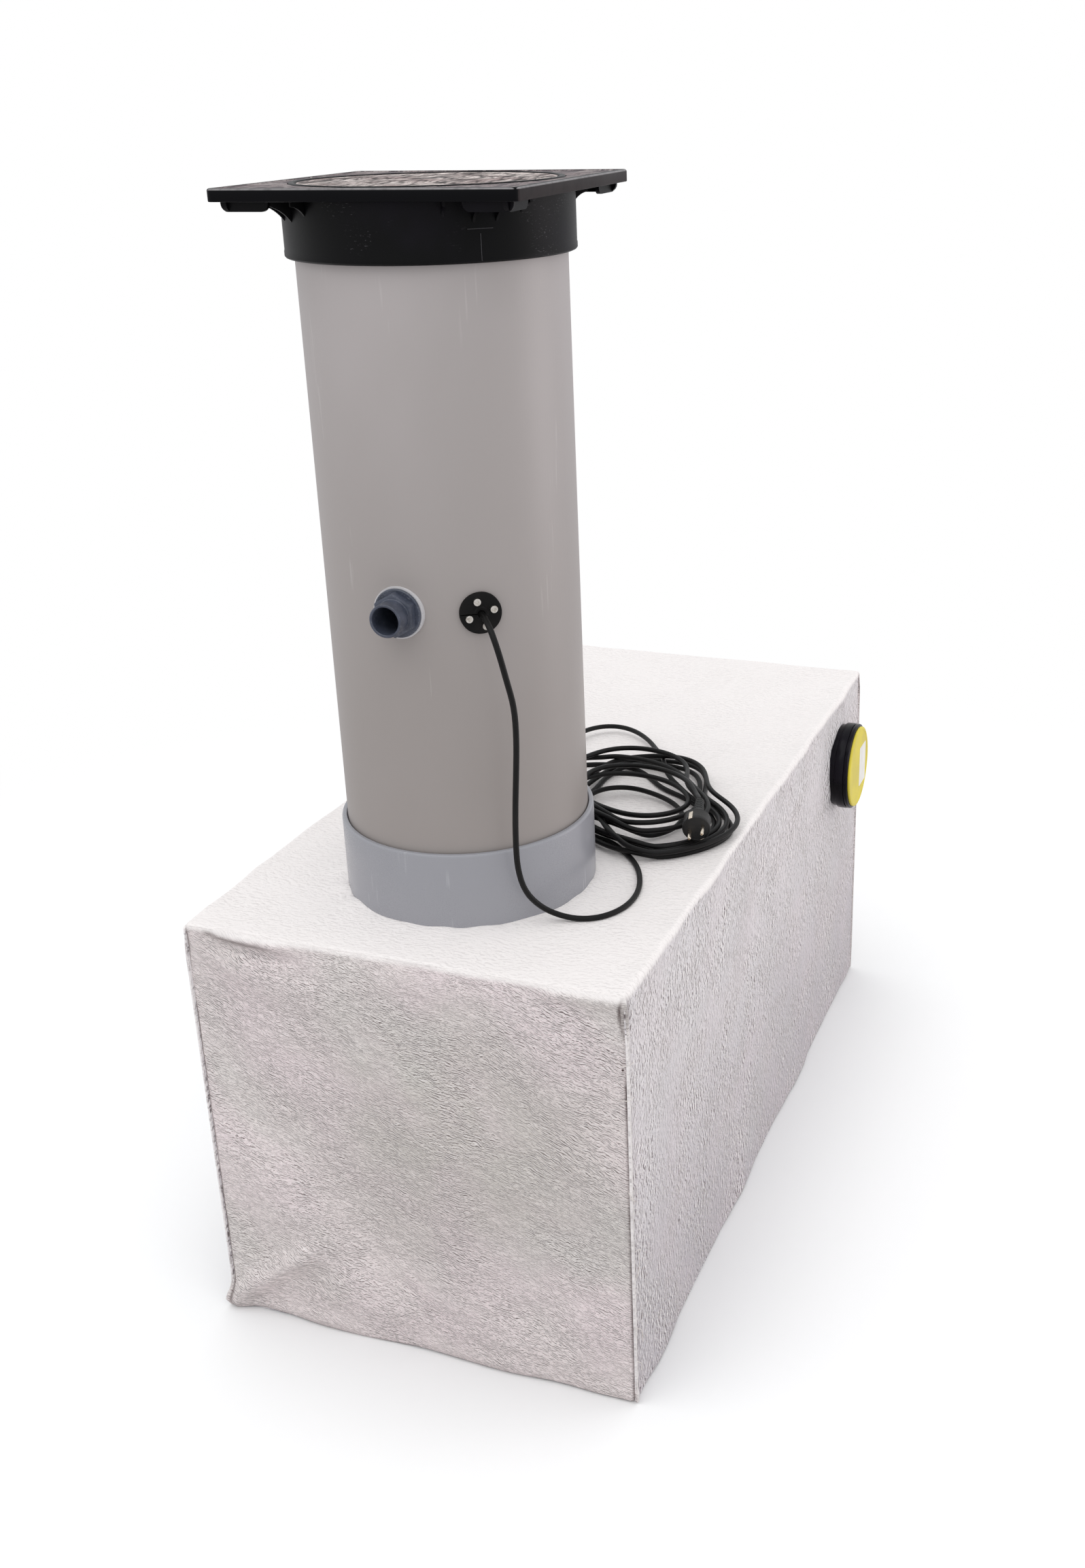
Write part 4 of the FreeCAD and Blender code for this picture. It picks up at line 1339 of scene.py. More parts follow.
    def build_threads(self) -> Piece:
        """Loose thread ends and stitches that stick out of the seam on the inlet's side."""
        edge = (self.high[0] + self.thread_stand, self.low[1] - self.thread_stand, 0.0)
        made = []
        for index, stitch in enumerate(self.stitches):
            start, bend, end = (np.add(edge, place) for place in stitch)
            thread = Bench.add(f"seam_thread_{index}", bpy.ops.curve.primitive_nurbs_curve_add)
            spline = thread.data.splines[0]
            for point, place in zip(spline.points, (start, bend, bend, end)):
                point.co = (*place, 1.0)
            spline.use_endpoint_u = True
            thread.data.bevel_depth = self.thread_radius
            thread.data.bevel_resolution = 1
            thread.data.use_fill_caps = True
            bpy.ops.object.convert(target="MESH")
            made.append(thread)
        threads = Bench.join(*made)
        threads.name = "seam_threads"
        Bench.soften(threads, 60.0)
        return settle(threads, self.thread)

    def build(self) -> None:
        band = self.build_band()
        front = self.end_panel("wrap_front", True)
        back = self.end_panel("wrap_back", False)
        threads = self.build_threads()


@dataclass
class Crate:
    """The plates of the storage crate inside the wrap."""

    finish: MouldedBlack = MouldedBlack("crate plastic", "crate_plastic", gloss=0.6)

    def build(self) -> None:
        """Dress the plates, which the wrap hides."""
        for side in ("base", "top", "front", "back", "left", "right"):
            dress(self.finish, f"crate_{side}")


@dataclass
class Riser:
    """The riser pipe and the socket that it stands in."""

    pipe_finish: DrawnPlastic = DrawnPlastic("riser pipe plastic", "riser_grey")
    socket_finish: DrawnPlastic = DrawnPlastic(
        "riser socket plastic",
        "socket_grey",
        colour=srgb(171, 171, 176),
        cloud=srgb(159, 159, 165),
        scratch=srgb(196, 196, 200),
        # The painted shade colour, which the socket takes as it sits low.
        soil_and_shade=srgb(144, 144, 150),
        gloss=0.26,
        scratched=0.25,
    )
    pipe_wall: float = 0.0077
    ledge: float = 0.006
    lip: float = 0.0022
    clearance: float = 0.0007
    drill_reach: Pair = (0.8, 1.2)

    def __post_init__(self) -> None:
        """Read the pipe's and the socket's sizes from the frame."""
        self.pipe, self.socket = Extent("riser_pipe"), Extent("riser_socket")
        self.axis = self.pipe.middle
        self.pipe_radius = self.pipe.half.x
        self.upright = Matrix.Translation((self.axis.x, self.axis.y, 0.0))

    def on_wall(self, angle: float, height: float) -> Matrix:
        """Frame of a piece on the riser's wall.

        Args:
            angle: Direction out of the axis, in degrees.
            height: Height of the piece's middle.

        Returns:
            The frame, with Z running out of the riser's axis, X round it and Y up.
        """
        turn = math.radians(angle)
        out = Vector((math.cos(turn), math.sin(turn), 0.0))
        return framed((self.axis.x, self.axis.y, height), UP.cross(out), UP, out)

    def bore(self, angle: float, height: float, radius: float) -> None:
        """Bore a round hole through the pipe's wall.

        Args:
            angle: Direction of the hole out of the axis, in degrees.
            height: Height of its middle.
            radius: Its radius.
        """
        inner, outer = (share * self.pipe_radius for share in self.drill_reach)
        drill = Bench.drill("wall_drill", radius, inner, outer)
        Bench.place(drill, self.on_wall(angle, height))
        Bench.carve(self.tube, drill)
        Bench.soften(self.tube)

    def build(self) -> None:
        """Turn the pipe and the socket."""
        outer, inner = self.pipe_radius, self.pipe_radius - self.pipe_wall
        low, high = self.pipe.low.z, self.pipe.high.z
        section = [(outer, low), (outer, high), (inner, high), (inner, low), (outer, low)]
        self.tube = Bench.turned("riser_tube", section, 192)
        fit(self.tube, self.upright, self.pipe_finish, "riser_pipe")

        out, bore = self.socket.half.x, self.pipe_radius + self.clearance
        foot, rim = self.socket.low.z, self.socket.high.z
        lip = self.lip
        section = [
            (out, foot), (out, rim - 1.6 * lip), (out - 0.2 * lip, rim - 0.7 * lip),
            (out - 0.7 * lip, rim - 0.1 * lip), (out - lip, rim), (bore + 0.6 * lip, rim),
            (bore, rim - 0.8 * lip), (bore, foot + self.ledge), (inner, foot + self.ledge),
            (inner, foot), (out, foot),
        ]
        socket = Bench.turned("riser_socket_ring", section, 192)
        fit(socket, self.upright, self.socket_finish, "riser_socket")


@dataclass
class Cover:
    """The square cover with its round lid, skirt, ribs and fins."""

    riser: Riser
    turn: float = math.radians(2.0)
    corner: float = 0.009
    border: float = 0.0070
    sunk: float = 0.0011
    rim_round: float = 0.0026
    foot_round: float = 0.0010
    throat_inset: float = 0.0155
    lid_clearance: float = 0.0012
    groove_inset: float = 0.009
    groove_width: float = 0.003
    groove_depth: float = 0.0016
    skirt_round: float = 0.0022
    skirt_clearance: float = 0.0008
    mould_mark: float = 0.5
    mould_angle: float = -45.2
    # Width, length and drop below the plate of the mould's parting lines.
    mould_lines: tuple[Point, ...] = ((0.0007, 0.028, 0.0495), (0.029, 0.0007, 0.0305))
    carved_depth: float = 0.0006
    carved_shape: tuple[int, int] = (560, 72)
    carved_wander: Wave = Wave(0.011, 0.13, 41)
    carved_sway: Wave = Wave(0.0028, 0.034, 42)
    carved_seed: int = 43
    # Pitch, length and depth's share of the two sets of carved lines.
    carved_lines: tuple[Point, ...] = ((0.0120, 0.110, 1.0), (0.0090, 0.060, 0.8))
    moulded: MouldedBlack = MouldedBlack("cover plastic", "cover_black", scuffed=0.75)

    def __post_init__(self) -> None:
        """Read the cover's sizes from the frame."""
        self.plate, self.lid, self.skirt = (Extent(f"cover_{name}") for name in ("frame", "lid", "skirt"))
        self.lid_radius = self.lid.half.x
        reach = self.plate.half.x - self.corner
        self.half = reach / (math.cos(self.turn) + math.sin(self.turn)) + self.corner
        top = (self.riser.axis.x, self.riser.axis.y, self.plate.high.z)
        inner = self.half - self.border
        # The frame shows fewer pale plates, and so less painted reflection.
        self.frame_finish = BarkRelief(
            "cover frame relief", "cover_black", centre=top, turn=self.turn, border=inner, wear_and_sheen=0.42
        )
        ring = self.lid_radius - self.groove_inset
        self.lid_finish = BarkRelief("cover lid relief", "lid_black", centre=top, turn=self.turn, ring=ring)

    def build_frame(self) -> None:
        """Shape the plate, sink its top inside a border and cut the lid's seat and the throat."""
        half, low, high = self.half, self.plate.low.z, self.plate.high.z
        plate = Bench.block("cover_plate", (-half, -half, low), (half, half, high))

        def outer_rim(edge: bmesh.types.BMEdge) -> bool:
            """Whether an edge of the top also bounds a side wall."""
            return Bench.at_height(edge, high) and any(abs(face.normal.z) < 0.1 for face in edge.link_faces)

        with Bench.editing(plate):
            Bench.bevel(plate, Bench.upright, self.corner, 7)
            Bench.pick(plate, Domain.FACE, Bench.faces_up)
            bpy.ops.mesh.inset(thickness=self.border, depth=0.0)
            bpy.ops.mesh.inset(thickness=self.sunk, depth=-self.sunk)
            Bench.bevel(plate, outer_rim, self.rim_round, 3)
            Bench.bevel(plate, lambda edge: Bench.at_height(edge, low), self.foot_round, 2)
        seat = self.lid_radius + self.lid_clearance
        ledge = self.lid.low.z
        throat = self.riser.pipe_radius - self.throat_inset
        below, above = low - 0.01, high + 0.01
        section = [(0.0, below), (throat, below), (throat, ledge), (seat, ledge), (seat, above)]
        Bench.carve(plate, Bench.turned("seat_cutter", section + [(0.0, above)], 160))
        place = self.riser.upright @ Matrix.Rotation(self.turn, 4, "Z")
        fit(plate, place, self.frame_finish, "cover_frame")

    def build_lid(self) -> None:
        """Turn the lid with a rounded rim and set the carved plate into its ring groove."""
        radius, low, rim = self.lid_radius, self.lid.low.z, self.lid.high.z
        high = rim - self.sunk
        groove = radius - self.groove_inset
        wall, bed = groove + self.groove_width, high - self.groove_depth
        section = [
            (0.0, low), (radius - 0.001, low), (radius, low + 0.001), (radius, rim - 0.0008),
            (radius - 0.0008, rim), (wall + 0.0006, rim), (wall, rim - 0.0006), (wall - 0.0006, bed),
            (0.0, bed),
        ]
        lid = Bench.turned("cover_disc", section, 160)
        Bench.join(lid, self.carved_plate(groove, (low + bed) / 2.0, high))
        fit(lid, self.riser.upright, self.lid_finish, "cover_lid", angle=50.0)

    def carving(self, x: Grid, y: Grid) -> Grid:
        """Lines that wander from front to back.

        Args:
            x: Place from side to side.
            y: Place from front to back.

        Returns:
            0 on the plates to 1 in the lines.
        """
        wander = x + self.carved_wander.over(x, y) + self.carved_sway.over(x, y)
        lines = np.zeros_like(x)
        for seed, (pitch, length, weight) in enumerate(self.carved_lines):
            wave = Wave(1.0, length, self.carved_seed + seed).over(wander * length / pitch, y)
            lines = np.maximum(lines, weight * swell(wave, 0.36))
        return lines

    def carved_plate(self, radius: float, low: float, high: float) -> Piece:
        """A closed round plate whose top is carved.

        Args:
            radius: Radius of the plate.
            low: Height of its foot.
            high: Height of its top.

        Returns:
            The plate, with its axis on Z.
        """
        columns, rows = self.carved_shape
        cells = {"x_subdivisions": columns, "y_subdivisions": rows}
        plate = Bench.add("carved_plate", bpy.ops.mesh.primitive_grid_add, size=2.0, **cells)
        with Bench.editing(plate):
            Bench.pick(plate, Domain.EDGE, lambda edge: edge.is_boundary)
            bpy.ops.mesh.extrude_edges_move(TRANSFORM_OT_translate={"value": (0.0, 0.0, -1.0)})
            bpy.ops.mesh.edge_face_add()
        points = np.empty(len(plate.data.vertices) * 3, dtype=np.float32)
        plate.data.vertices.foreach_get("co", points)
        across, along, level = points.reshape(-1, 3).astype(float).T
        x = radius * np.sin(across * math.radians(89.6))
        y = along * np.sqrt(radius**2 - x**2)
        lines = self.carving(x, y) * (1.0 - swell(radius - np.hypot(x, y), 0.002))
        crown = 0.0005 * (1.0 - (x**2 + y**2) / radius**2)
        z = np.where(level < -0.5, low, high + crown - self.carved_depth * lines)
        plate.data.vertices.foreach_set("co", np.stack((x, y, z), axis=1).reshape(-1).astype(np.float32))
        Bench.tag(plate, CARVED, lines)
        Bench.tidy(plate)
        return plate

    def build_skirt(self) -> None:
        """Turn the skirt with a rounded foot, and raise the mould's parting lines on it."""
        radius, low, high = self.skirt.half.x, self.skirt.low.z, self.skirt.high.z
        bore = self.riser.pipe_radius + self.skirt_clearance
        curl = self.skirt_round
        section = [
            (bore, high), (radius, high), (radius, low + 0.009), (radius + 0.0005, low + 0.007),
            (radius + 0.0005, low + curl), (radius - 0.3 * curl, low + 0.3 * curl),
            (radius - curl, low), (bore + 0.0012, low), (bore, low + 0.0012), (bore, high),
        ]
        skirt = Bench.turned("cover_collar", section, 192)
        Bench.place(skirt, self.riser.upright)
        lines = []
        for index, (width, length, drop) in enumerate(self.mould_lines):
            low_corner = (-width / 2.0, -length / 2.0, radius - 0.002)
            line = Bench.block(f"parting_{index}", low_corner, (width / 2.0, length / 2.0, radius + 0.0006))
            Bench.place(line, self.riser.on_wall(self.mould_angle, high - drop))
            Bench.tag(line, STAIN_AND_SHADE, np.full(len(line.data.vertices), self.mould_mark))
            lines.append(line)
        Bench.join(skirt, *lines)
        skirt.name = "cover_collar"
        Bench.soften(skirt)
        settle(skirt, self.moulded, "cover_skirt")

    def build(self) -> None:
        """Make the cover's pieces and dress its ribs and fins."""
        self.build_frame()
        self.build_lid()
        self.build_skirt()
        dress(self.moulded, "cover_edge_ribs", "cover_gussets")


@dataclass
class Outlet:
    """The outlet union through the riser's wall."""

    riser: Riser
    angle: float = -88.0
    height: float = 1.008
    finish: TintedPlastic = TintedPlastic("outlet plastic", "fitting_grey")
    gasket: Rubber = Rubber(
        "outlet gasket rubber",
        "gasket_pale",
        colour=srgb(212, 210, 212),
        dust=srgb(176, 173, 172),
        gloss=0.6,
    )
    flange_radius: float = 0.0295
    flange_base: float = 0.160
    flange_top: float = 0.164
    hexagon: float = 0.047
    hexagon_top: float = 0.173
    spigot: float = 0.020
    bore: float = 0.0166
    end: float = 0.196
    inner_end: float = 0.1368
    clearance: float = 0.0004
    corner_round: float = 0.0014
    face_inset: float = 0.0022
    face_rise: float = 0.0012

    def build(self) -> None:
        """Turn the shank, flange and spigot, shape the hexagon and join them."""
        spigot, bore, start, end = self.spigot, self.bore, self.inner_end, self.end
        flange, base, top, neck = self.flange_radius, self.flange_base, self.flange_top, self.hexagon_top
        section = [
            (bore, start), (spigot, start), (spigot, base), (flange - 0.0008, base),
            (flange, base + 0.0008), (flange, top - 0.0012), (flange - 0.0012, top),
            (spigot + 0.0012, top), (spigot + 0.0012, neck + 0.0006), (spigot, neck + 0.0022),
            (spigot, end - 0.0012), (spigot - 0.0009, end), (bore + 0.0008, end),
            (bore, end - 0.0010), (bore, start),
        ]
        body = Bench.join(Bench.turned("outlet_union", section), self.build_hexagon())
        fit(body, self.riser.on_wall(self.angle, self.height), self.finish, "outlet_fitting", angle=30.0)
        self.riser.bore(self.angle, self.height, spigot + self.clearance)
        dress(self.gasket, "outlet_gasket")
        dress(self.finish, "outlet_locknut")

    def build_hexagon(self) -> Piece:
        """A hexagon with bevelled corners and a bored middle."""
        depth = self.hexagon_top - self.flange_top
        middle = (self.hexagon_top + self.flange_top) / 2.0
        nut = Bench.add(
            "outlet_hexagon",
            bpy.ops.mesh.primitive_cylinder_add,
            vertices=6,
            radius=self.hexagon / math.sqrt(3.0),
            depth=depth,
            location=(0.0, 0.0, middle),
        )
        bpy.ops.object.transform_apply()
        with Bench.editing(nut):
            Bench.bevel(nut, Bench.upright, self.corner_round, 3)
            Bench.pick(nut, Domain.FACE, Bench.faces_up)
            bpy.ops.mesh.inset(thickness=self.face_inset, depth=0.0)
            bpy.ops.transform.translate(value=(0.0, 0.0, self.face_rise))
        hole = Bench.drill("hexagon_cutter", self.spigot, middle - depth, middle + depth)
        Bench.carve(nut, hole)
        return nut


@dataclass
class CableSeal:
    """The rubber seal that the power lead leaves the riser through."""

    riser: Riser
    angle: float = -53.0
    height: float = 1.006
    radius: float = 0.025
    grommet: float = 0.022
    face: float = 0.1625
    dome: float = 0.0011
    collar_radius: float = 0.0066
    hole: float = 0.0042
    hole_depth: float = 0.0008
    slit: float = 0.0012
    rubber: Rubber = Rubber(
        "cable seal rubber",
        "seal_black",
        colour=srgb(11, 10, 10),
        dust=srgb(40, 37, 36),
        dusty=0.25,
        shine=0.16,
    )
    steel: BrightMetal = BrightMetal("socket screw steel", "screw_steel")

    def frame(self) -> Matrix:
        """Frame of the seal, with Z running out of the riser's axis."""
        return self.riser.on_wall(self.angle, self.height)

    def mouth(self) -> Vector:
        """Where the lead leaves the seal's face."""
        return self.frame() @ Vector((0.0, 0.0, self.face))

    def build(self) -> None:
        """Turn the plate with a soft rim and a raised collar round the lead, and slit it."""
        radius, face, collar, hole = self.radius, self.face, self.collar_radius, self.hole
        low = math.sqrt(self.riser.pipe_radius**2 - radius**2)
        brow, bed = face + self.dome, face - self.hole_depth
        section = [
            (0.0, low), (radius - 0.0004, low), (radius, low + 0.0004), (radius, face - 0.0016),
            (radius - 0.0005, face - 0.0005), (radius - 0.0016, face), (collar + 0.0022, face),
            (collar + 0.0005, brow), (hole + 0.0004, brow), (hole, bed), (0.0, bed),
        ]
        plate = Bench.turned("cable_seal_face", section)
        slit = self.slit / 2.0
        start, end = (-1.2 * radius, -slit, face - 0.002), (-0.0035, slit, face + 0.01)
        Bench.carve(plate, Bench.block("slit_cutter", start, end))
        fit(plate, self.frame(), self.rubber, "cable_seal_plate", angle=30.0)
        self.riser.bore(self.angle, self.height, self.grommet)
        dress(self.rubber, "cable_seal_grommet", "cable_seal_back_plate")
        dress(self.steel, "cable_seal_screws")


@dataclass
class Inlet:
    """The inlet stub with its collar and push-in cap."""

    plastic: MouldedBlack = MouldedBlack("inlet plastic", "inlet_black", gloss=0.17, relief=0.00003)
    yellow: TintedPlastic = TintedPlastic(
        "cap plastic",
        "cap_yellow",
        colour=srgb(228, 211, 56),
        flow=srgb(216, 199, 58),
        dust=srgb(226, 215, 130),
        gloss=0.42,
        dusty=0.25,
        scale=26.0,
    )
    paper: TintedPlastic = TintedPlastic(
        "blank label paper",
        "cap_yellow",
        colour=srgb(244, 243, 238),
        flow=srgb(236, 234, 228),
        dust=srgb(214, 208, 200),
        gloss=0.5,
        dusty=0.15,
        scale=40.0,
    )
    wall: float = 0.007
    cap_step: float = 0.0006
    ring_clearance: float = 0.0004
    ring_wall: float = 0.004
    label_low: Pair = (0.006, -0.040)
    label_high: Pair = (0.050, 0.030)
    label_half: float = 0.0002
    label_round: float = 0.003

    def __post_init__(self) -> None:
        """Read the stub's, collar's and cap's sizes from the frame."""
        self.stub, self.collar, self.cap = (Extent(f"inlet_{name}") for name in ("stub", "collar", "cap"))
        self.bore = self.stub.half.z - self.wall

    def along_x(self) -> Matrix:
        """Frame of a turned piece whose axis points out of the inlet."""
        place = (0.0, self.stub.middle.y, self.stub.middle.z)
        return framed(place, (0.0, 1.0, 0.0), UP, (1.0, 0.0, 0.0))

    def build_stub(self) -> None:
        """Turn the stub and its collar as one moulding, with the groove before the mouth."""
        stub, collar, bore = self.stub.half.z, self.collar.half.z, self.bore
        start, step, mouth = self.stub.low.x, self.collar.low.x, self.collar.high.x
        section = [
            (bore, start), (stub, start), (stub, step - 0.0004), (collar - 0.0016, step),
            (collar - 0.0004, step + 0.0008), (collar, step + 0.0024), (collar, mouth - 0.0090),
            (collar - 0.0006, mouth - 0.0080), (collar - 0.0024, mouth - 0.0074),
            (collar - 0.0024, mouth - 0.0062), (collar - 0.0008, mouth - 0.0056),
            (collar - 0.0004, mouth - 0.0045), (collar - 0.0008, mouth - 0.0018),
            (collar - 0.0026, mouth - 0.0003), (collar - 0.0040, mouth), (bore, mouth),
            (bore, start),
        ]
        piece = Bench.turned("inlet_socket", section, 144)
        fit(piece, self.along_x(), self.plastic, "inlet_stub", "inlet_collar")

    def build_cap(self) -> None:
        """Turn the cap with its dished face and inner ring, and lay the blank label on it."""
        radius, back, face, tip = self.cap.half.z, self.collar.high.x, self.cap.high.x, self.cap.low.x
        level = face - self.cap_step
        ring = self.bore - self.ring_clearance
        inner = ring - self.ring_wall
        section = [
            (0.0, back), (inner, back), (inner, tip), (ring, tip), (ring, back),
            (radius - 0.0004, back), (radius, back + 0.0006), (radius, face - 0.0014),
            (radius - 0.0004, face - 0.0005), (radius - 0.0014, face), (radius - 0.0050, face),
            (radius - 0.0058, level), (0.0, level),
        ]
        cap = Bench.turned("inlet_plug_cap", section, 144)
        fit(cap, self.along_x(), self.yellow, "inlet_cap")
        low, high = (*self.label_low, level - self.label_half), (*self.label_high, level + self.label_half)
        label = Bench.block("cap_label", low, high)
        with Bench.editing(label):
            Bench.bevel(label, Bench.upright, self.label_round, 4)
        Bench.place(label, self.along_x())
        settle(label, self.paper)

    def build(self) -> None:
        """Make the stub and the cap."""
        self.build_stub()
        self.build_cap()


@dataclass
class PowerLead:
    """The power lead from the cable seal to its plug, most of it in a loose coil on the crate."""

    seal: CableSeal
    diameter: float = 0.0074
    length: float = 8.2
    hump: float = 0.08
    hump_height: float = 0.05
    step: float = 0.004
    stretch: int = 24
    own_run: float = 6.0
    thinning: int = 5
    turn_points: int = 300
    lead_in: float = 0.012
    plug_grip: Pair = (0.004, 0.016)
    rubber: Rubber = Rubber(
        "lead rubber",
        "cord_black",
        colour=srgb(9, 8, 8),
        dust=srgb(32, 30, 29),
        dusty=0.35,
        gloss=0.42,
        shine=0.22,
        pore=1500.0,
    )
    route: tuple[Point, ...] = (
        (0.1086, -0.1442, 0.4060), (0.1201, -0.1560, 0.3987), (0.1294, -0.1640, 0.3853),
        (0.1357, -0.1655, 0.3665), (0.1396, -0.1602, 0.3380), (0.1431, -0.1503, 0.3020),
        (0.1414, -0.1450, 0.2600), (0.1374, -0.1425, 0.2150), (0.1332, -0.1410, 0.1690),
        (0.1303, -0.1390, 0.1240), (0.1297, -0.1368, 0.0840), (0.1350, -0.1295, 0.0500),
        (0.1480, -0.1140, 0.0240), (0.1660, -0.1010, 0.0090), (0.1900, -0.0945, 0.0037),
        (0.2140, -0.0830, 0.0037), (0.2310, -0.0580, 0.0037), (0.2380, -0.0260, 0.0037),
        (0.2340, 0.0120, 0.0037), (0.2200, 0.0510, 0.0037), (0.2010, 0.0830, 0.0037),
        (0.1760, 0.1090, 0.0037), (0.1500, 0.1320, 0.0037),
    )
    floor_points: int = 9
    eye: Pair = (0.153, 0.237)
    bearings: tuple[float, ...] = (-122.0, -182.0, -212.0, -242.0, -272.0, -317.0, -377.0, -422.0)
    turns: tuple[tuple[float, ...], ...] = (
        (0.100, 0.180, 0.215, 0.186, 0.090, 0.084, 0.124, 0.118),
        (0.092, 0.096, 0.106, 0.170, 0.170, 0.092, 0.152, 0.153),
        (0.107, 0.112, 0.126, 0.180, 0.190, 0.100, 0.143, 0.144),
        (0.068, 0.088, 0.092, 0.080, 0.056, 0.054, 0.076, 0.090),
        (0.084, 0.150, 0.215, 0.340, 0.112, 0.078, 0.134, 0.134),
        (0.099, 0.104, 0.116, 0.164, 0.176, 0.108, 0.160, 0.161),
        (0.076, 0.180, 0.180, 0.150, 0.118, 0.086, 0.112, 0.108),
        (0.091, 0.132, 0.150, 0.176, 0.150, 0.070, 0.100, 0.098),
        (0.082, 0.102, 0.090, 0.074, 0.062, 0.062, 0.084, 0.074),
        (0.060, 0.092, 0.098, 0.090, 0.080, 0.076),
    )
    relaxing: int = 60

    def __post_init__(self) -> None:
        """Find the riser's foot on the crate's top and read the plug's place."""
        axis = self.seal.riser.axis
        self.foot = Vector((axis.x, axis.y, Extent("fabric_top").high.z))
        self.plug = Plug(self.foot)

    def coil_plan(self) -> Grid:
        """The coil's centreline seen from above, from the route's end to the plug.

        Each turn is given by how far it reaches from the coil's eye at the eight bearings, in degrees:
        near, left, behind, far, back, shoulder, right and front.

        Returns:
            Evenly spaced points, measured from the riser's foot.
        """
        eye = np.array(self.eye)
        start = np.array(self.route[-1][:2]) - eye
        swept = [-math.degrees(math.atan2(start[1], start[0]))]
        reach = [float(np.hypot(*start))]
        for index, turn in enumerate(self.turns):
            for bearing, distance in zip(self.bearings, turn):
                swept.append(360.0 * index - bearing)
                reach.append(distance)
        at = np.linspace(swept[0], swept[-1], self.turn_points * len(self.turns))
        radius = flowing(np.array(swept), np.array(reach), at)
        turn = np.radians(-at)
        line = eye + radius[:, None] * np.column_stack((np.cos(turn), np.sin(turn)))
        entry = self.plug.entry - self.foot
        lead_in = entry - self.plug.ahead * self.lead_in
        plan = self.spaced(np.vstack((line, lead_in[:2], entry[:2])), self.step)
        for _ in range(self.relaxing):
            plan[1:-1] = (plan[:-2] + 2.0 * plan[1:-1] + plan[2:]) / 4.0
        return self.spaced(plan, self.step)

    @staticmethod
    def spaced(line: Grid, step: float) -> Grid:
        """Points at an even step along a line."""
        run = np.concatenate(((0.0,), np.cumsum(np.linalg.norm(np.diff(line, axis=0), axis=1))))
        count = int(run[-1] / step)
        at = np.linspace(0.0, run[-1], count + 1)
        return np.column_stack([np.interp(at, run, line[:, axis]) for axis in range(line.shape[1])])

    def laid(self, plan: Grid) -> Grid:
        """Heights of the coil's line when each stretch lies on what is already there.

        Args:
            plan: Evenly spaced points of the line seen from above.

        Returns:
            The height of each point above the crate's top.
        """
        reach = self.diameter
        height = np.full(len(plan), reach / 2.0)
        near = int(self.own_run * reach / self.step)
        for first in range(0, len(plan), self.stretch):
            last = min(first + self.stretch, len(plan))
            done = max(0, first - near)
            if done:
                gaps = np.linalg.norm(plan[first:last, None] - plan[None, :done], axis=2)
                over = np.where(gaps < reach, np.sqrt(np.maximum(reach**2 - gaps**2, 0.0)), -1.0)
                rest = np.where(over > 0.0, height[None, :done] + over, 0.0).max(axis=1)
                height[first:last] = np.maximum(height[first:last], rest)
                self.spread(height, first, last)
        return height

    def spread(self, height: Grid, first: int, last: int) -> None:
        """Draw the humps of a stretch out into long low ones, back along the line as well."""
        reach = int(math.sqrt(2.0 * self.hump * self.hump_height) / self.step)
        low = max(0, first - reach)
        high = min(len(height), last + reach)
        for index in range(first, last):
            if height[index] > self.diameter / 2.0 + DOUBLES:
                away = (np.arange(low, high) - index) * self.step
                hump = height[index] - away**2 / (2.0 * self.hump)
                height[low:high] = np.maximum(height[low:high], hump)

    def control_points(self) -> list[Vector]:
        """The lead's control points: the route, the coil's turns and the way into the plug."""
        points = [self.seal.mouth()]
        points += [self.foot + Vector(place) for place in self.route[:-1]]
        entry = self.plug.entry
        floor = self.spaced(np.array(self.route)[-self.floor_points:, :2], self.step)[:-1]
        plan = np.vstack((floor, self.coil_plan()))
        height = self.laid(plan)
        height[-1] = entry.z - self.foot.z
        self.spread(height, len(height) - 1, len(height))
        shown = slice(len(floor), None, self.thinning)
        for (x, y), z in zip(plan[shown], height[shown]):
            points.append(self.foot + Vector((x, y, z)))
        return points + [entry + self.plug.ahead * depth for depth in self.plug_grip]

    def build(self) -> None:
        points = self.control_points()
        curve = bpy.data.curves.new("power_lead", "CURVE")
        curve.dimensions = "3D"
        spline = curve.splines.new("NURBS")
        spline.points.add(len(points) - 1)
        for control, place in zip(spline.points, points):
            control.co = (*place, 1.0)
        spline.order_u = 3
        spline.use_endpoint_u = True
        spline.resolution_u = 4
        curve.bevel_depth = self.diameter / 2.0
        curve.bevel_resolution = 4
        curve.use_fill_caps = True
        lead = bpy.data.objects.new("power_lead", curve)
        bpy.context.scene.collection.objects.link(lead)
        settle(lead, self.rubber, "power_cord", "cord_coil")
        pieces = self.plug.build()


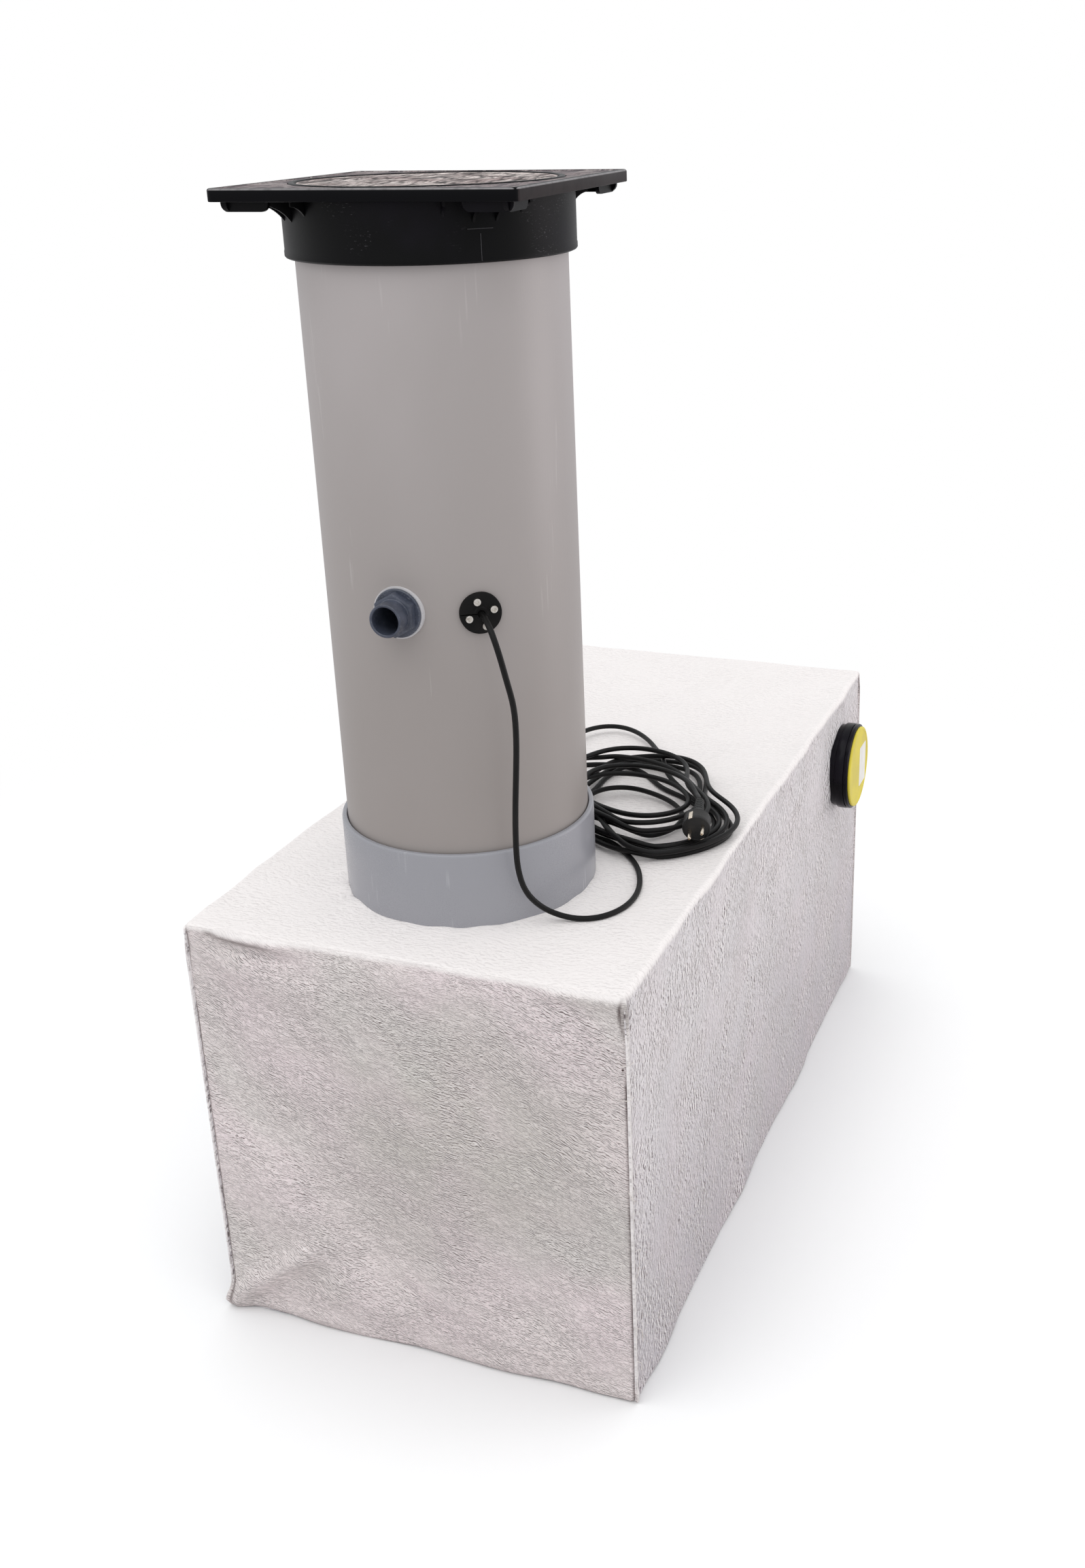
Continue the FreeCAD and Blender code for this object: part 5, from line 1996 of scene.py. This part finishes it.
@dataclass
class Plug:
    """The moulded two-pin plug on the end of the lead."""

    foot: Vector
    face: Point = (0.268, 0.146, 0.034)
    azimuth: float = math.radians(-76.0)
    dip: float = math.radians(9.0)
    roll: float = math.radians(25.0)
    radius: float = 0.0195
    body: float = 0.022
    shoulder: float = 0.018
    relief: float = 0.032
    neck: float = 0.008
    tip: float = 0.0055
    ribs: int = 6
    rib_depth: float = 0.0013
    recess: float = 0.0172
    recess_depth: float = 0.0012
    slot_half: float = 0.0045
    slot_depth: float = 0.0016
    grip_half: float = 0.007
    grip_depth: float = 0.0011
    clip_half: float = 0.0028
    clip_thickness: float = 0.0008
    pin_radius: float = 0.0024
    pin_length: float = 0.019
    pin_spacing: float = 0.019
    rubber: Rubber = Rubber("plug rubber", "plug_black", colour=srgb(23, 23, 23), dusty=0.25, gloss=0.44)
    metal: BrightMetal = BrightMetal("plug pin metal", "pin_metal", colour=srgb(226, 214, 198), gloss=0.2)

    def __post_init__(self) -> None:
        """Work out the plug's frame and where the lead enters it."""
        level = math.cos(self.dip)
        heading = (math.cos(self.azimuth) * level, math.sin(self.azimuth) * level, -math.sin(self.dip))
        self.ahead = Vector(heading)
        self.origin = self.foot + Vector(self.face)
        self.entry = self.origin - self.ahead * (self.body + self.shoulder + self.relief)

    def frame(self) -> Matrix:
        """The plug's frame, with Z running out of its face along the pins."""
        side = UP.cross(self.ahead).normalized()
        level = framed(self.origin, side, self.ahead.cross(side), self.ahead)
        return level @ Matrix.Rotation(self.roll, 4, "Z")

    def build_body(self) -> Piece:
        """Turn the body and the ribbed relief, and press the grip hollows and earth slots into it."""
        radius, neck, tip = self.radius, self.neck, self.tip
        shoulder = -self.body - self.shoulder
        end = shoulder - self.relief
        section = [
            (0.0, -self.recess_depth), (self.recess, -self.recess_depth),
            (self.recess + 0.0004, 0.0), (radius - 0.0006, 0.0),
            (radius, -0.0008), (radius, -0.0052), (radius - 0.0010, -0.0060),
            (radius - 0.0010, -0.0190), (radius - 0.0004, -self.body),
            (0.78 * radius, -self.body - 0.006), (0.55 * radius, -self.body - 0.0125),
            (neck, shoulder),
        ]
        pitch = self.relief / self.ribs
        for index in range(self.ribs):
            start = shoulder - pitch * index
            wide = neck + (tip - neck) * index / self.ribs
            thin = wide - self.rib_depth
            section += [(wide, start - 0.10 * pitch), (wide, start - 0.55 * pitch)]
            section += [(thin, start - 0.65 * pitch), (thin, start - 0.92 * pitch)]
        section += [(tip - 0.0002, end), (0.0, end)]
        body = Bench.turned("plug_moulding", section, 72)
        for side in (-1.0, 1.0):
            wall = side * radius
            low = (-self.slot_half, wall - self.slot_depth, -0.017)
            high = (self.slot_half, wall + self.slot_depth, 0.01)
            Bench.carve(body, Bench.block("earth_slot", low, high))
            low = (wall - self.grip_depth, -self.grip_half, -0.030)
            high = (wall + self.grip_depth, self.grip_half, -0.0075)
            Bench.carve(body, Bench.block("grip_press", low, high))
        return body

    def build_pins(self) -> Piece:
        """Turn two pins with a rounded, dimpled tip and add the earth clips."""
        radius, length = self.pin_radius, self.pin_length
        section = [
            (radius, -0.002), (radius, length - 0.0014), (radius - 0.0004, length - 0.0004),
            (radius - 0.0009, length), (radius - 0.0011, length), (radius - 0.0012, length - 0.003),
            (0.0, length - 0.003),
        ]
        made = []
        for side in (1.0, -1.0):
            made.append(Bench.turned("plug_prongs", section, 32))
            Bench.place(made[-1], Matrix.Translation((side * self.pin_spacing / 2.0, 0.0, 0.0)))
        for side in (-1.0, 1.0):
            inner = side * (self.radius - self.slot_depth)
            faces = sorted((inner, inner + side * self.clip_thickness))
            low, high = (-self.clip_half, faces[0], -0.0165), (self.clip_half, faces[1], -0.0006)
            made.append(Bench.block("earth_clip", low, high))
        pins = Bench.join(*made)
        pins.name = "plug_prongs"
        return pins

    def build(self) -> list[Piece]:
        """Make the plug's pieces.

        Returns:
            The moulding and the pins.
        """
        body, pins = self.build_body(), self.build_pins()
        fit(body, self.frame(), self.rubber, "plug_body", angle=40.0)
        fit(pins, self.frame(), self.metal, "plug_pins", angle=40.0)
        return [body, pins]


@dataclass(frozen=True)
class SoftLamp:
    """A round lamp that points at the object."""

    name: str
    place: Point
    size: float
    power: float
    tint: Point = (1.0, 1.0, 1.0)
    aim: Point = (0.0, 0.0, 0.6)

    def build(self) -> None:
        """Hang the lamp."""
        lamp = Bench.add(self.name, bpy.ops.object.light_add, type="AREA", location=self.place)
        lamp.data.shape = "DISK"
        lamp.data.size = self.size
        lamp.data.energy = self.power
        lamp.data.color = self.tint
        ahead = Vector(self.aim) - Vector(self.place)
        lamp.rotation_euler = ahead.to_track_quat("-Z", "Y").to_euler()


@dataclass
class Studio:
    """Camera, soft light and pale floor."""

    eye: Point = (0.89516, -2.14767, 1.56904)
    azimuth: float = -0.3583
    pitch: float = 0.3961
    roll: float = -0.0233
    lens: float = 37.99
    sensor: float = 36.0
    sight: float = 200.0
    shift: Pair = (-0.0583, -0.0045)
    floor_colour: Colour = (0.93, 0.93, 0.93, 1.0)
    floor_glow: Pair = (0.10, 2.0)
    shadow_reach: float = 0.32
    shadow_fade: Pair = (0.5, 1.0)
    floor_size: float = 60.0
    floor_fade: Pair = (0.9, 2.2)
    sky: Colour = (0.97, 0.985, 1.0, 1.0)
    sky_strength: float = 0.90
    bounce_colour: Colour = (0.72, 0.70, 0.70, 1.0)
    lamps: tuple[SoftLamp, ...] = (
        SoftLamp("overhead_lamp", (-0.2, -1.5, 4.1), 4.2, 44.0),
        SoftLamp("side_fill", (3.2, 1.4, 0.8), 2.0, 17.0, (1.0, 0.92, 0.93)),
    )

    def build_camera(self) -> None:
        """Stand the camera at the picture's angle."""
        ahead = Vector((
            math.sin(self.azimuth) * math.cos(self.pitch),
            math.cos(self.azimuth) * math.cos(self.pitch),
            -math.sin(self.pitch),
        ))
        right = Vector((math.cos(self.azimuth), -math.sin(self.azimuth), 0.0))
        level = framed(self.eye, right, right.cross(ahead), -ahead)
        camera = Bench.add("Camera", bpy.ops.object.camera_add)
        camera.matrix_world = level @ Matrix.Rotation(self.roll, 4, "Z")
        camera.data.lens = self.lens
        camera.data.sensor_width = self.sensor
        camera.data.sensor_fit = "AUTO"
        camera.data.shift_x, camera.data.shift_y = self.shift
        camera.data.clip_end = self.sight
        bpy.context.scene.camera = camera

    def build_floor(self) -> None:
        """Lay the floor, which glows a little where nothing shades it and is plain white far off."""
        floor = Bench.add("studio_floor", bpy.ops.mesh.primitive_plane_add, size=self.floor_size)
        paint = bpy.data.materials.new("studio floor")
        paint.use_nodes = True
        graph = Graph(paint.node_tree)
        far = graph.distance(graph.place(), ORIGIN).smooth(*self.floor_fade)
        seen = self.seen(graph)
        colour = graph.mix(seen, self.bounce_colour, self.floor_colour)
        share, strength = self.floor_glow
        matt = graph.node("ShaderNodeBsdfDiffuse", None, {"Color": colour})
        glow = graph.node("ShaderNodeEmission", None, {"Strength": strength})
        shade = graph.node("ShaderNodeAmbientOcclusion", None, {"Distance": self.shadow_reach}, "AO")
        lit = shade.smooth(*self.shadow_fade) * seen * share
        near = graph.node("ShaderNodeMixShader", None, {0: lit, 1: matt, 2: glow})
        white = graph.node("ShaderNodeEmission", None, {"Strength": 1.0})
        blend = graph.node("ShaderNodeMixShader", None, {0: far * seen, 1: near, 2: white})
        graph.node("ShaderNodeOutputMaterial", None, {"Surface": blend})
        floor.data.materials.append(paint)

    @staticmethod
    def seen(graph: Graph) -> Value:
        """Whether a ray comes from the camera, straight or through something clear."""
        rays = graph.node("ShaderNodeLightPath", None, None, "Is Camera Ray")
        return rays.largest(Value(graph, rays.socket.node.outputs["Is Transmission Ray"]))

    def build_light(self) -> None:
        """Even sky light, white to the camera, with the soft lamps."""
        world = bpy.data.worlds.new("studio sky")
        world.use_nodes = True
        graph = Graph(world.node_tree)
        sky = graph.node("ShaderNodeBackground", None, {"Color": self.sky, "Strength": self.sky_strength})
        white = graph.node("ShaderNodeBackground", None, {"Color": (1.0, 1.0, 1.0, 1.0), "Strength": 1.0})
        blend = graph.node("ShaderNodeMixShader", None, {0: self.seen(graph), 1: sky, 2: white})
        graph.node("ShaderNodeOutputWorld", None, {"Surface": blend})
        bpy.context.scene.world = world
        for lamp in self.lamps:
            lamp.build()

    def build(self) -> None:
        """Set up the whole studio."""
        self.build_camera()
        self.build_floor()
        self.build_light()
        bpy.context.scene.view_settings.view_transform = "Standard"


def main() -> None:
    """Build the sump piece by piece."""
    logging.basicConfig(level=logging.INFO, format="%(name)s: %(message)s")
    riser = Riser()
    seal = CableSeal(riser)
    for assembly in (
        Studio(),
        PowerLead(seal),
        Wrap(),
        Crate(),
        riser,
        Cover(riser),
        Outlet(riser),
        seal,
        Inlet(),
    ):
        assembly.build()


if __name__ == "__main__":
    main()
